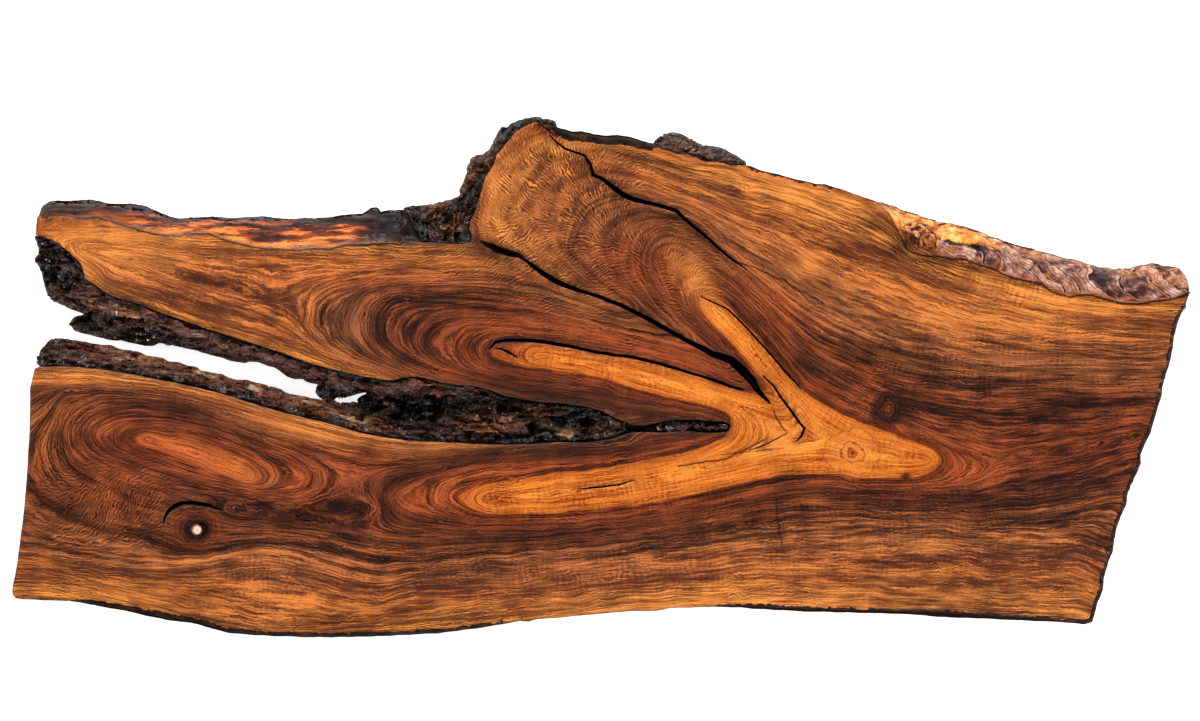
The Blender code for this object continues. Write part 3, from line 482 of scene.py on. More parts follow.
RIPPLED_SPOTS = ((1055, 357, 60, 22, 0, 1.0), (260, 65, 50, 28, 0, 0.9), (600, 70, 180, 18, 0, 0.9),
    (620, 150, 170, 22, 8, 0.7), (880, 195, 60, 30, -20, 0.7), (640, 275, 120, 14, -12, 0.6),
    (560, 440, 60, 60, 0, 0.5), (900, 110, 200, 50, 0, 0.5), (1000, 290, 160, 40, 0, 0.5),
    (200, 370, 120, 30, 0, 0.4))


def laid_spots(spots, x, y):
    total = np.zeros(len(x))
    for at_x, at_y, half_x, half_y, turn, strength in spots:
        c, s = math.cos(math.radians(turn)), math.sin(math.radians(turn))
        along = ((x - at_x) * c + (y - at_y) * s) / half_x
        across = (-(x - at_x) * s + (y - at_y) * c) / half_y
        total = np.maximum(total, strength * np.exp(-(along ** 2 + across ** 2) * 0.8))
    return total


def store(thing, name, *values):
    """Keeps numbers on the corners of a mesh, for its material to read."""
    kind = "FLOAT" if len(values) == 1 else "FLOAT_VECTOR"
    made = thing.data.attributes.new(name, kind, "POINT")
    stack = np.column_stack(values).astype(np.float32).ravel()
    made.data.foreach_set("value" if len(values) == 1 else "vector", stack)


x, y, z = corners_mm(slab).T
rows = np.clip(y / GROWTH_CELL + 1, 0, growth_field.shape[0] - 1.001)
columns = np.clip(x / GROWTH_CELL + 1, 0, growth_field.shape[1] - 1.001)
depth = THICKNESS - z
growth = between(growth_field, rows, columns)
growth_deep = np.clip(growth + 0.0035 * depth * np.sin(x / 90.0) * (growth > 0.1), 0.0, 1.05)
outer = kdtree.KDTree(int(((crack_share < 0.5) & (depth > ON_FACE)).sum()))
rims = kdtree.KDTree(int((crack_share > 0.5).sum()))
for i in range(len(x)):
    if crack_share[i] > 0.5:
        rims.insert((x[i], y[i], 0.0), i)
    elif depth[i] > ON_FACE:
        outer.insert((x[i], y[i], z[i]), i)
outer.balance()
rims.balance()
to_edge = np.array([outer.find((x[i], y[i], z[i]))[2] if depth[i] < ON_FACE else 0.0 for i in range(len(x))])
to_crack = np.array([rims.find((x[i], y[i], 0.0))[2] for i in range(len(x))])
# Darker on the face within a few millimetres of each crack.
crack_halo = 0.75 * np.exp(-to_crack / 3.2) * (crack_share < 0.5) * (depth < 1.0)
store(slab, "growth", np.where(depth > ON_FACE, growth_deep, growth))
store(slab, "grain", between(lean_cos / lean_size, rows, columns), between(lean_sin / lean_size, rows, columns),
      np.zeros(len(x)))
store(slab, "tones", laid_spots(DARK_SPOTS, x, y), laid_spots(RED_SPOTS, x, y), laid_spots(GOLD_SPOTS, x, y))
below = smooth_step(depth, 0.2, 4.0)
wane = np.maximum(upper_left, upper_right) * smooth_step(depth, 0.0, 2.5) * (crack_share < 0.5)
# Painted shade: the walls of the cracks, below the face, are painted near-black as if deep in shadow.
crack = crack_share * smooth_step(depth, 0.0, 1.6)
wedge = smooth_step(x, 398, 406) * smooth_step(434 - x, 0, 4) * smooth_step(y, 408, 413)
normals = corner_normals(slab)
top_line = smooth_step(x, 540, 552) * smooth_step(y, 440 - 0.1 * (x - 540),
    452 - 0.1 * (x - 540)) * (crack_share < 0.5)
# Dark crust along the top edge beside the crown.
dark_edge_mask = top_line * smooth_step(668 - x, 0, 8) * smooth_step(11.0 - to_edge, 0.0, 5.0)
thin_crust = top_line * smooth_step(x, 660, 668) * smooth_step(885 - x, 0, 40) * smooth_step(5.0 - to_edge, 0.0,
    2.0) * 0.55
# Painted shade: the walls facing the near side, along the near edge, are painted dark as if in shadow.
near_wall_shade = 1.2 * (normals[:, 1] < -0.25) * smooth_step(depth, 0.0,
    1.5) * (crack_share < 0.5) * smooth_step(120 - y, 0, 30)
sawn_end = 0.6 * (np.abs(normals[:, 0]) > 0.6) * smooth_step(depth, 0.0, 1.5) * (crack_share < 0.5)
end_crust = 0.66 * smooth_step(x, 1085, 1100) * (y < 345) * (depth < ON_FACE) * smooth_step(7.5 - to_edge, 0.0, 4.0)
# A dark strip on the face along its near edge, from the left end to about 540 mm, and another from about 730 mm on.
dark_near_strip = smooth_step(540 - x, 0, 60) * (y < 70) * smooth_step(3.5 + 3.0 * smooth_step(x, 50, 90) - to_edge, 0.0,
    3.5)
dark_near_strip = np.maximum(dark_near_strip, smooth_step(x, 700, 760) * (y < 60) * smooth_step(5.0 - to_edge, 0.0, 2.5))
dark_near_strip = 0.95 * dark_near_strip * (crack_share < 0.5)
# All the dark edges together: crust, end grain, the dark near strip and the painted shade on the near walls.
dark_edge_mask = np.maximum.reduce((dark_edge_mask, thin_crust, near_wall_shade, sawn_end * (x < 600), end_crust, dark_near_strip))
flat = depth < ON_FACE
ends = edge_ends(slab)
over_rim = ends[flat[ends[:, 0]] != flat[ends[:, 1]]]
rim = np.zeros(len(x), bool)
rim[over_rim.ravel()] = True
rim &= flat & (crack_share < 0.5)
store(slab, "finish", laid_spots(GREY_SPOTS, x, y), laid_spots(RIPPLED_SPOTS, x, y), right_end * below)
# At the head of the fork seam the painted crack shade is lighter.
groove_head = smooth_step(540 - x, 0, 12) * smooth_step(y, 384, 390) * (x > 475)
store(slab, "edges", wane, crack * (1.0 - 0.6 * groove_head), np.maximum(dark_edge_mask, 0.85 * wedge))
# The third part marks the rim of the face above the waney edges, for a painted shadow line.
store(slab, "sides", upper_left, upper_right, rim * np.maximum(upper_left, upper_right))
# Where the waney edges turn sideways or downwards, for painted shade.
store(slab, "steep", smooth_step(0.5 - normals[:, 2], 0.0, 0.35) * np.maximum(upper_left, upper_right))
store(slab, "ridges", ridges, np.clip(1.3 * laid_spots(FEATHERED_SPOTS, x, y), 0.0, 1.0), crack_halo)


def linear(red, green, blue):
    """A colour as the eye reads it on a screen, 0 to 255, as the shader wants it."""
    return tuple((((c / 255 + 0.055) / 1.055) ** 2.4 if c > 10 else c / 255 / 12.92
        for c in (red, green, blue))) + (1.0,)


class Wire:
    """What comes out of one node, a number or a colour. Sums with it are made of math nodes."""

    def __init__(self, recipe, socket):
        self.recipe, self.socket = recipe, socket

    def __add__(self, other):
        return self.recipe.math("ADD", self, other)

    def __sub__(self, other):
        return self.recipe.math("SUBTRACT", self, other)

    def __rsub__(self, other):
        return self.recipe.math("SUBTRACT", other, self)

    def __mul__(self, other):
        return self.recipe.math("MULTIPLY", self, other)

    def __truediv__(self, other):
        return self.recipe.math("DIVIDE", self, other)


class Recipe:
    """One material, built up node by node. Its colours are given as the eye reads them, 0 to 255."""

    def __init__(self, name):
        self.material = bpy.data.materials.new(name)
        self.material.use_nodes = True
        self.nodes = self.material.node_tree.nodes
        self.mm = self.node("VectorMath", {0: self.node("TexCoord", {}, "Object"), "Scale": 1000.0}, operation="SCALE")

    def feed(self, socket, value):
        if isinstance(value, Wire):
            self.material.node_tree.links.new(value.socket, socket)
        elif value is not None:
            socket.default_value = value

    def node(self, kind, inputs, output=0, **settings):
        made = self.nodes.new("ShaderNode" + kind)
        for name, value in settings.items():
            setattr(made, name, value)
        for name, value in inputs.items():
            self.feed(made.inputs[name], value)
        return Wire(self, made.outputs[output])

    def finish(self, inputs):
        """Sets the inputs of the shader itself."""
        for name, value in inputs.items():
            self.feed(self.nodes["Principled BSDF"].inputs[name], value)

    def math(self, operation, first, second=None, clamp=False):
        return self.node("Math", {0: first, 1: second}, operation=operation, use_clamp=clamp)

    def span(self, value, low, high, to_low=0.0, to_high=1.0):
        """A soft step of a number from one level to another."""
        ends = {"Value": value, "From Min": low, "From Max": high, "To Min": to_low, "To Max": to_high}
        return self.node("MapRange", ends, interpolation_type="SMOOTHSTEP")

    def kept(self, name, output="Vector"):
        """What store() kept on the corners of the mesh."""
        return self.node("Attribute", {}, output, attribute_name=name)

    def parts(self, vector):
        made = self.nodes.new("ShaderNodeSeparateXYZ")
        self.feed(made.inputs[0], vector)
        return [Wire(self, output) for output in made.outputs]

    def from_corner(self):
        """Millimetres from the slab's lower left corner, across and up."""
        from_middle = self.parts(self.mm)
        return from_middle[0] + LENGTH / 2, from_middle[1] + WIDTH / 2

    def vector(self, x, y, z):
        return self.node("CombineXYZ", {0: x, 1: y, 2: z})

    def stretch(self, vector, x, y, z):
        return self.node("VectorMath", {0: vector, 1: (x, y, z)}, operation="MULTIPLY")

    def noise(self, vector, scale, detail=3.0, roughness=0.55):
        inputs = {"Vector": vector, "Scale": scale, "Detail": detail, "Roughness": roughness}
        return self.node("TexNoise", inputs, "Fac")

    def fibres(self, vector, scale, frequency, angle, anisotropy=1.0):
        inputs = {"Vector": vector, "Scale": scale, "Frequency": frequency, "Anisotropy": anisotropy,
                  "Orientation": angle}
        return self.node("TexGabor", inputs, "Value", gabor_type="2D")

    def covering_ramp(self, value, stops):
        """A colour by a number, and how far it covers. Each stop is its place, its colour and its cover, if not 1."""
        made = self.nodes.new("ShaderNodeValToRGB")
        while len(made.color_ramp.elements) < len(stops):
            made.color_ramp.elements.new(0.5)
        for element, (position, colour, *cover) in zip(made.color_ramp.elements, sorted(stops)):
            element.position = position
            element.color = linear(*colour)[:3] + tuple(cover or (1.0,))
        self.feed(made.inputs[0], value)
        return Wire(self, made.outputs["Color"]), Wire(self, made.outputs["Alpha"])

    def ramp(self, value, *stops):
        return self.covering_ramp(value, stops)[0]

    def mix(self, factor, first, second):
        first, second = [linear(*colour) if isinstance(colour, tuple) else colour for colour in (first, second)]
        return self.node("Mix", {0: factor, 6: first, 7: second}, 2, data_type="RGBA")

    def bump(self, height, distance, strength=1.0, normal=None):
        return self.node("Bump", {"Strength": strength, "Distance": distance, "Height": height, "Normal": normal})


# The finish of the wood: oiled walnut, honey-coloured in the hearts of the limbs, dark and reddish round them,
# browner outwards and golden in the sapwood, with ink-dark growth lines, fine fibres and ripples across the grain.
oiled = Recipe("oiled_walnut")
growth_at = oiled.kept("growth", "Fac")
lean = oiled.parts(oiled.kept("grain"))
tones = oiled.parts(oiled.kept("tones"))
finish = oiled.parts(oiled.kept("finish"))
edges = oiled.parts(oiled.kept("edges"))
sides = oiled.parts(oiled.kept("sides"))
at = oiled.parts(oiled.mm)
from_left, from_near = oiled.from_corner()
across_grain = oiled.math("ARCTAN2", lean[1], lean[0]) * 0.5
along_grain = across_grain + math.pi / 2
drift = oiled.noise(oiled.mm, 0.016, 3.0) - 0.5
tremble = oiled.noise(oiled.mm, 0.09, 2.0) - 0.5
ring_at = growth_at + drift * 0.028 + tremble * 0.007
hair = oiled.noise(oiled.mm, 0.28, 2.0) - 0.5
ring_at = ring_at + hair * 0.005
slow_x = at[0] * 0.0045
slow_y = at[1] * 0.0045
broad = oiled.noise(oiled.vector(slow_x, slow_y, ring_at * 16.0), 1.0, 4.0)
narrow = oiled.noise(oiled.vector(at[0] * 0.009, at[1] * 0.009, ring_at * 55.0), 1.0, 3.0, 0.65)
thin = oiled.noise(oiled.vector(at[0] * 0.034, at[1] * 0.034, ring_at * 230.0), 1.0, 2.0, 0.6)
surface = oiled.parts(oiled.kept("ridges"))
turned = across_grain + surface[1] * (math.pi / 2)
bend_x = at[0] + tremble * 13.0
bend_y = at[1] + (oiled.noise(oiled.mm, 0.07, 2.0) - 0.5) * 13.0
bent = oiled.vector(bend_x, bend_y, at[2])
fibre = oiled.fibres(bent, 1 / 15, 4.3, turned, 0.96)
fine_fibre = oiled.fibres(bent, 1 / 8, 3.6, turned, 0.92)
fibre_share = oiled.span(oiled.noise(oiled.mm, 0.03, 2.0), 0.35, 0.65, 0.25, 1.0)
ripple = oiled.fibres(bent, 1 / 16, 2.8, along_grain, 0.85)
shown = ring_at + (broad - 0.5) * 0.1 + (narrow - 0.5) * 0.05
soft_side = oiled.span(from_near, 232, 250, 0.012, 0.09)
heart_edge = growth_at + (narrow - 0.5) * soft_side
heart = oiled.span(heart_edge, 0.205, 0.235, 1.0, 0.0)


def streaked(growth, light, stops):
    """Wood colour by growth: a darker and a lighter one at each stage, and the streaks say how light it is."""
    dark = oiled.ramp(growth, *[(position, low) for position, low, high in stops])
    bright = oiled.ramp(growth, *[(position, high) for position, low, high in stops])
    return oiled.mix(light, dark, bright)


mottle = oiled.noise(oiled.mm, 0.045, 3.0, 0.6)
light = (narrow - 0.5) * 1.35 + (thin - 0.5) * 2.1 + (broad - 0.5) * 1.5 + (mottle - 0.5) * 0.8
fibres = (fibre - 0.5) * 0.8 + (fine_fibre - 0.5) * 1.1
fibres = fibres * fibre_share
light = light + fibres
across = (ripple - 0.5) * (finish[1] * 0.5 + 0.12)
light = light + across + tones[2] * 0.3
feather = (oiled.noise(oiled.mm, 0.05, 7.0, 0.74) - 0.5) * 2.2 + (fibre - 0.5) * 1.4 + (fine_fibre - 0.5) * 1.3
feather = feather + (narrow - 0.5) * 0.5
plain_share = 1.0 - surface[1] * 0.9
light = light * plain_share + feather * surface[1]
light = oiled.math("ADD", light, 0.5, clamp=True)
shown_colour = streaked(shown, oiled.math("POWER", light, 2.2),
    ((0.22, (20, 8, 6), (162, 72, 30)), (0.3, (38, 15, 10), (190, 90, 44)), (0.38, (40, 17, 12), (166, 78, 40)),
    (0.46, (36, 17, 13), (160, 78, 44)), (0.52, (30, 14, 11), (158, 79, 44)), (0.6, (34, 17, 13), (186, 100, 54)),
    (0.645, (34, 17, 13), (182, 96, 50)), (0.662, (20, 10, 8), (96, 48, 30)), (0.68, (40, 21, 16), (186, 104, 56)),
    (0.715, (54, 28, 21), (202, 114, 60)), (0.725, (28, 14, 10), (116, 60, 36)),
    (0.745, (66, 32, 22), (210, 120, 60)), (0.8, (84, 40, 25), (214, 122, 58)),
    (0.85, (88, 41, 25), (222, 128, 58)), (0.9, (74, 36, 23), (236, 142, 64)), (0.96, (70, 34, 20), (238, 146, 66)),
    (1.0, (50, 24, 16), (190, 98, 42))))
heart_ring = ring_at * 4.0
heart_light = light - 0.5 + (ripple - 0.5) * 0.12
heart_light = oiled.math("ADD", heart_light, 0.5, clamp=True)
heart_colour = streaked(heart_ring, heart_light, (
    (0.0, (138, 42, 4), (255, 156, 62)), (0.45, (134, 42, 4), (252, 146, 54)), (0.8, (84, 26, 6), (238, 128, 46)),
    (1.0, (48, 18, 8), (186, 84, 30))))
colour = oiled.mix(heart, shown_colour, heart_colour)
gold = oiled.mix(light, (126, 58, 24), (246, 152, 72))
colour = oiled.mix(tones[2] * 0.8, colour, gold)
grey = oiled.mix(light, (72, 38, 26), (186, 112, 66))
colour = oiled.mix(finish[0] * 0.5, colour, grey)
red = oiled.mix(light, (52, 18, 12), (212, 102, 50))
colour = oiled.mix(tones[1] * 0.85, colour, red)
dark = oiled.mix(light, (14, 7, 7), (66, 32, 23))
colour = oiled.mix(tones[0] * 0.95, colour, dark)
calm = (1.0 - heart * 0.8) * plain_share
ink = oiled.span(narrow, 0.4, 0.3) * calm
colour = oiled.mix(ink * 0.32, colour, (24, 11, 8))


def knot(colour, middle, radius, squash, wobble, stops):
    """Rings round a knot: colours by distance from its middle, each with how far it covers the grain."""
    off_x = from_left - middle[0]
    off_y = (from_near - middle[1]) * squash
    away = oiled.math("SQRT", off_x * off_x + off_y * off_y)
    uneven = (oiled.noise(oiled.mm, 0.11, 3.0) - 0.5) * wobble
    away = (away + uneven) / radius
    rings, cover = oiled.covering_ramp(away, stops)
    return oiled.mix(cover, colour, rings)


KNOT_AT = (191.5, 112.8)
colour = knot(colour, KNOT_AT, 34.0, 1.25, 13.0, (
    (0.0, (10, 5, 4), 1.0), (0.28, (10, 5, 4), 1.0), (0.34, (44, 20, 14), 0.95), (0.39, (20, 9, 7), 0.95),
    (0.45, (84, 36, 20), 0.9), (0.50, (34, 15, 11), 0.85), (0.58, (108, 46, 24), 0.7), (0.64, (52, 22, 15), 0.7),
    (0.72, (116, 52, 26), 0.5), (0.78, (56, 25, 16), 0.5), (1.0, (90, 42, 24), 0.0)))
colour = knot(colour, (870.0, 192.0), 32.0, 1.15, 16.0, ((0.0, (86, 36, 14), 1.0), (0.09, (190, 94, 34), 1.0),
    (0.15, (118, 52, 20), 0.9), (0.21, (222, 130, 56), 0.9), (0.35, (214, 120, 50), 0.8),
    (0.39, (98, 42, 17), 0.95), (0.43, (226, 136, 60), 0.7), (0.62, (222, 130, 56), 0.3),
    (0.84, (226, 136, 60), 0.2), (0.88, (140, 66, 26), 0.6), (1.0, (200, 110, 44), 0.0)))
colour = knot(colour, (907.0, 238.0), 20.0, 0.95, 17.0, (
    (0.0, (64, 28, 17), 1.0), (0.12, (124, 58, 30), 1.0), (0.20, (26, 11, 8), 1.0), (0.33, (100, 44, 25), 1.0),
    (0.44, (12, 6, 5), 1.0), (0.56, (58, 26, 17), 0.9), (0.66, (14, 7, 5), 0.9), (0.78, (52, 24, 16), 0.6),
    (0.86, (22, 10, 8), 0.5), (1.0, (50, 24, 16), 0.0)))
colour = knot(colour, (925.0, 167.0), 7.0, 1.3, 5.0, (
    (0.0, (24, 11, 8), 0.9), (0.5, (70, 32, 18), 0.8), (1.0, (70, 32, 18), 0.0)))
DARK_LINES = (
    ((735, 401), (760, 386), 0.8, 0.8), ((760, 386), (800, 370), 0.7, 0.7), ((800, 370), (842, 346), 0.6, 0.6),
    ((640, 320), (690, 312), 1.0, 0.9), ((600, 330), (640, 320), 0.7, 0.7), ((690, 178), (740, 186), 0.7, 0.8),
    ((740, 186), (778, 205), 0.7, 0.8), ((735, 190), (788, 196), 0.6, 0.6), ((788, 236), (800, 214), 0.9, 0.8),
    ((815, 138), (862, 133), 0.7, 0.7), ((790, 150), (796, 96), 0.9, 0.6), ((884, 330), (905, 330), 0.5, 0.4),
    ((700, 345), (690, 372), 0.6, 0.5), ((470, 378), (410, 384), 0.5, 0.5),
)


def dark_line(colour, start, stop, half_width, strength):
    """A fine dark line from one point of the face to another, wavering a little."""
    run = (stop[0] - start[0], stop[1] - start[1])
    length = math.hypot(*run)
    from_x = shaken_x - start[0]
    from_y = shaken_y - start[1]
    along = from_x * (run[0] / length) + from_y * (run[1] / length)
    beyond = oiled.math("ABSOLUTE", along - length / 2)
    beyond = oiled.math("MAXIMUM", beyond - length / 2, 0.0)
    aside = from_y * (run[0] / length) - from_x * (run[1] / length)
    off = oiled.math("ABSOLUTE", aside) + beyond
    return oiled.mix(oiled.span(off, half_width * 0.5, half_width * 1.8, strength, 0.0), colour, (20, 9, 7))


shake = oiled.noise(oiled.mm, 0.06, 3.0)
shaken_x = from_left + (shake - 0.5) * 7.0
shaken_y = from_near + (shake - 0.5) * 7.0
for line in DARK_LINES:
    colour = dark_line(colour, *line)

# The waney surface at upper left shines orange-red, and purple-brown towards the ends and the upper right.
wane_noise = oiled.noise(oiled.stretch(oiled.mm, 0.022, 0.13, 0.13), 1.0, 5.0, 0.65)
# Down the upper left wane the colour darkens with depth below the face, from orange at the top edge to near black low
# down.
fall = (THICKNESS - at[2]) / 40.0 + (wane_noise - 0.5) * 0.9
far_left = oiled.span(from_left, 20, 150, 0.35, 0.0) + oiled.span(from_left, 345, 402, 0.0, 0.9)
fall = fall + far_left
wane_left = oiled.ramp(fall, (0.0, (208, 118, 48)), (0.12, (150, 66, 24)), (0.24, (98, 39, 18)),
    (0.36, (70, 29, 19)), (0.5, (50, 24, 19)), (0.66, (38, 21, 19)), (0.82, (34, 18, 14)), (1.0, (20, 11, 9)))
flow = oiled.noise(oiled.stretch(oiled.mm, 0.028, 0.17, 0.06), 1.0, 5.0, 0.7)
strands = oiled.span(from_left, 110, 170) * oiled.span(from_left, 400, 340, 0.0, 1.0)
strands = oiled.span(flow, 0.52, 0.58, 0.0, 0.9) * (strands + 0.15)
wane_left = oiled.mix(strands, wane_left, oiled.ramp(fall, (0.1, (234, 142, 64)), (0.35, (196, 88, 34)),
    (0.6, (112, 52, 34)), (0.8, (60, 34, 29))))
wane_left = oiled.mix(oiled.span(flow, 0.46, 0.41, 0.0, 0.85), wane_left, (28, 13, 11))
scale_noise = oiled.noise(oiled.stretch(oiled.mm, 0.07, 0.07, 0.12), 1.0, 5.0, 0.65)
step_at = oiled.math("FRACT", surface[0])
each = oiled.math("FRACT", oiled.math("FLOOR", surface[0]) * 0.381)
fine_step = oiled.math("FRACT", surface[0] * 4.0 + scale_noise * 1.5)
# Each scallop has a tone of its own and is painted lighter towards its lip: painted shading across it.
scallop_tone_and_shading = (scale_noise - 0.5) * 1.2 + each * 0.24 + 0.36 + step_at * 0.12
wane_right = oiled.ramp(scallop_tone_and_shading, (0.32, (30, 16, 14)), (0.43, (86, 48, 40)), (0.52, (140, 90, 78)),
    (0.62, (188, 136, 120)), (0.72, (228, 182, 162)), (0.84, (252, 226, 210)))
warm = oiled.noise(oiled.mm, 0.035, 3.0, 0.6)
wane_right = oiled.mix(oiled.span(warm, 0.55, 0.66, 0.0, 0.75), wane_right,
    oiled.ramp(scale_noise, (0.35, (96, 44, 20)), (0.65, (206, 122, 58))))
wane_right = oiled.mix(oiled.span(warm, 0.41, 0.35, 0.0, 0.8), wane_right, (26, 15, 14))
wane_right = oiled.mix(oiled.span(fine_step, 0.05, 0.4, 0.8, 0.0), wane_right, (40, 21, 18))
# Painted highlight on the lip of each scallop.
wane_right = oiled.mix(oiled.span(step_at, 0.88, 0.97, 0.0, 0.6), wane_right, (232, 190, 164))
# Painted shadow at the foot of each scallop.
wane_right = oiled.mix(oiled.span(step_at, 0.03, 0.14, 0.95, 0.0), wane_right, (20, 11, 9))
strip = from_left * 0.2 + from_near + (scale_noise - 0.5) * 12.0
strip = oiled.span(strip, 605, 608) * oiled.span(from_left, 990, 1040, 1.0, 0.2)
strip = oiled.math("MAXIMUM", strip, oiled.span(from_left, 915, 940, 1.0, 0.0))
burl_x = from_left - BURL_AT[0]
burl_y = from_near - BURL_AT[1]
from_burl = oiled.math("SQRT", burl_x * burl_x + burl_y * burl_y)
on_burl = oiled.span(from_burl, 20.0, 24.0, 1.0, 0.0)
golden = oiled.ramp(scale_noise, (0.34, (96, 44, 18)), (0.44, (206, 112, 44)), (0.54, (252, 166, 78)),
    (0.64, (255, 208, 130)))
wane_right = oiled.mix(strip, wane_right, golden)
burl_knobs = oiled.noise(oiled.mm, 0.16, 3.0, 0.6)
wane_right = oiled.mix(on_burl, wane_right, oiled.ramp(burl_knobs, (0.38, (20, 10, 8)), (0.44, (104, 50, 24)),
    (0.52, (210, 122, 58)), (0.62, (252, 182, 108))))
wane_colour = oiled.mix(sides[1], wane_left, wane_right)
# Painted shade: the waney edges are painted near-black where they turn downwards, broken up by noise.
turned_down_shade = oiled.kept("steep", "Fac") + (scale_noise - 0.5) * 0.8
wane_colour = oiled.mix(oiled.span(turned_down_shade, 0.35, 0.75, 0.0, 0.93), wane_colour, (24, 13, 11))
colour = oiled.mix(edges[0], colour, wane_colour)
crust_noise = oiled.noise(oiled.stretch(oiled.mm, 0.08, 0.11, 0.28), 1.0, 5.0, 0.7)
# The face is darkened beside the cracks, broken up by the mottle.
mottled_crack_halo = surface[2] * oiled.span(mottle, 0.36, 0.62, 0.25, 1.0)
colour = oiled.mix(mottled_crack_halo, colour, (24, 11, 9))
# Painted shade on the crack walls: near-black.
colour = oiled.mix(edges[1], colour, (12, 6, 5))
# Dark crust along the edges, together with the painted shade on the near walls.
ragged = edges[2] + (crust_noise - 0.5) * 1.3
crust_and_painted_shade = oiled.span(ragged, 0.38, 0.56) * oiled.span(edges[2], 0.05, 0.25)
colour = oiled.mix(crust_and_painted_shade, colour, oiled.ramp(crust_noise, (0.34, (12, 8, 7)), (0.52, (32, 18, 13)),
    (0.7, (74, 42, 27))))
# Painted shadow: a dark line along the rim of the face where it drops to the waney edges.
painted_rim_shadow = sides[2] + (crust_noise - 0.5) * 0.7
colour = oiled.mix(oiled.span(painted_rim_shadow, 0.5, 0.75, 0.0, 0.85), colour, (22, 11, 9))
sawn = oiled.noise(oiled.stretch(oiled.mm, 0.25, 0.25, 0.25), 1.0, 4.0, 0.7)
colour = oiled.mix(finish[2] * 0.8, colour, oiled.ramp(sawn, (0.3, (36, 18, 12)), (0.7, (110, 58, 32))))
wood_roughness = oiled.span(narrow, 0.3, 0.7, 0.34, 0.44) - edges[0] * 0.04
relief = fibre * 0.5 + narrow + scale_noise * (edges[0] * 8.0)
oiled.finish({"Base Color": colour, "Roughness": wood_roughness, "Specular IOR Level": 0.14,
              "Normal": oiled.bump(relief, 0.0002, 0.6)})

slab.data.materials.clear()
slab.data.materials.append(oiled.material)
# A copy without specular reflection, for faces turned steeply sideways, so they show no reflection of the bright
# table; the waney edges get it only where steeper.
reflectionless_copy = oiled.material.copy()
reflectionless_copy.name = "steep_sides_without_reflection"
reflectionless_copy.node_tree.nodes["Principled BSDF"].inputs["Specular IOR Level"].default_value = 0.0
slab.data.materials.append(reflectionless_copy)
shiny = np.maximum(upper_left, upper_right)
steepness = [WALL_STEEPNESS if max(shiny[i] for i in face.vertices) < 0.3 else WANE_STEEPNESS
             for face in slab.data.polygons]
slab.data.polygons.foreach_set(
    "material_index", [int(abs(face.normal.z) < level) for face, level in zip(slab.data.polygons, steepness)])
select_only(slab)
bpy.ops.object.shade_smooth_by_angle(angle=math.radians(SLAB_CREASE))
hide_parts("slab_wood")
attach(slab, "root")


# The bark: black, brittle walnut bark in ridges and pits, still on the tree's old outside in the split, in the
# notch beside the crown and on a short stretch right of the crown. It is varnished over, so its lumps glint.
BARK_NET = 1.7
BARK_SEED = 5
BARK_HIGHEST = 49.4
BARK_LOWEST = 0.3
SIDEWAYS_ON_WALLS = 1.6
SIDEWAYS_ON_TOP = 3.0
DULL_BELOW = 0.45
BARK_CREASE = 34
BARK_PLATES = {
    "bark_split": (-9.0, 36.0, 10.0, 12.0),
    "bark_notch": (62.0, 15.0, 10.0, 8.0),
    "bark_top_patch": (-22.0, 20.0, 10.0, 7.0),
}
INNER_BARK = ((230, 305, 170, 40, -17, 1.0), (100, 292, 60, 18, -6, 0.9), (690, 220, 70, 12, 0, 0.7))
# Brown flakes on the bark, and warm tan highlights painted along the lower limb's bark and in the notch.
BROWN_FLAKES_AND_WARM_HIGHLIGHTS = (
    (495, 222, 30, 8, 0, 1.0), (150, 287, 90, 8, -13, 1.0), (280, 252, 60, 7, -16, 0.9),
    (340, 229, 50, 5, -14, 0.8), (110, 340, 60, 10, -12, 0.6), (545, 236, 16, 10, 0, 0.6),
    (610, 214, 14, 6, 0, 0.7), (430, 262, 40, 7, -8, 0.7), (455, 428, 16, 8, 40, 0.8),
    (487, 500, 10, 16, -30, 0.7), (440, 446, 12, 8, 40, 0.8), (472, 478, 8, 16, -20, 0.7),
    (700, 508, 40, 7, -20, 0.7), (110, 330, 50, 8, -8, 0.3),
)
# A pale chip of wood in the bark of the pocket, and a line of painted glints along the lower limb's bark.
PALE_CHIPS_AND_GLINTS = (
    (572, 213, 11, 3.4, -18, 1.0), (607, 212, 5, 3, 0, 0.7), (250, 259, 14, 2.4, -15, 0.7),
    (200, 273, 18, 1.6, -14, 0.7), (310, 242, 20, 1.5, -16, 0.8), (350, 229, 24, 1.5, -15, 0.8),
    (150, 286, 14, 1.6, -10, 0.6),
)

noise.seed_set(BARK_SEED)
wood_near = kdtree.KDTree(len(corners))
for i, point in enumerate(corners):
    wood_near.insert(point, i)
wood_near.balance()


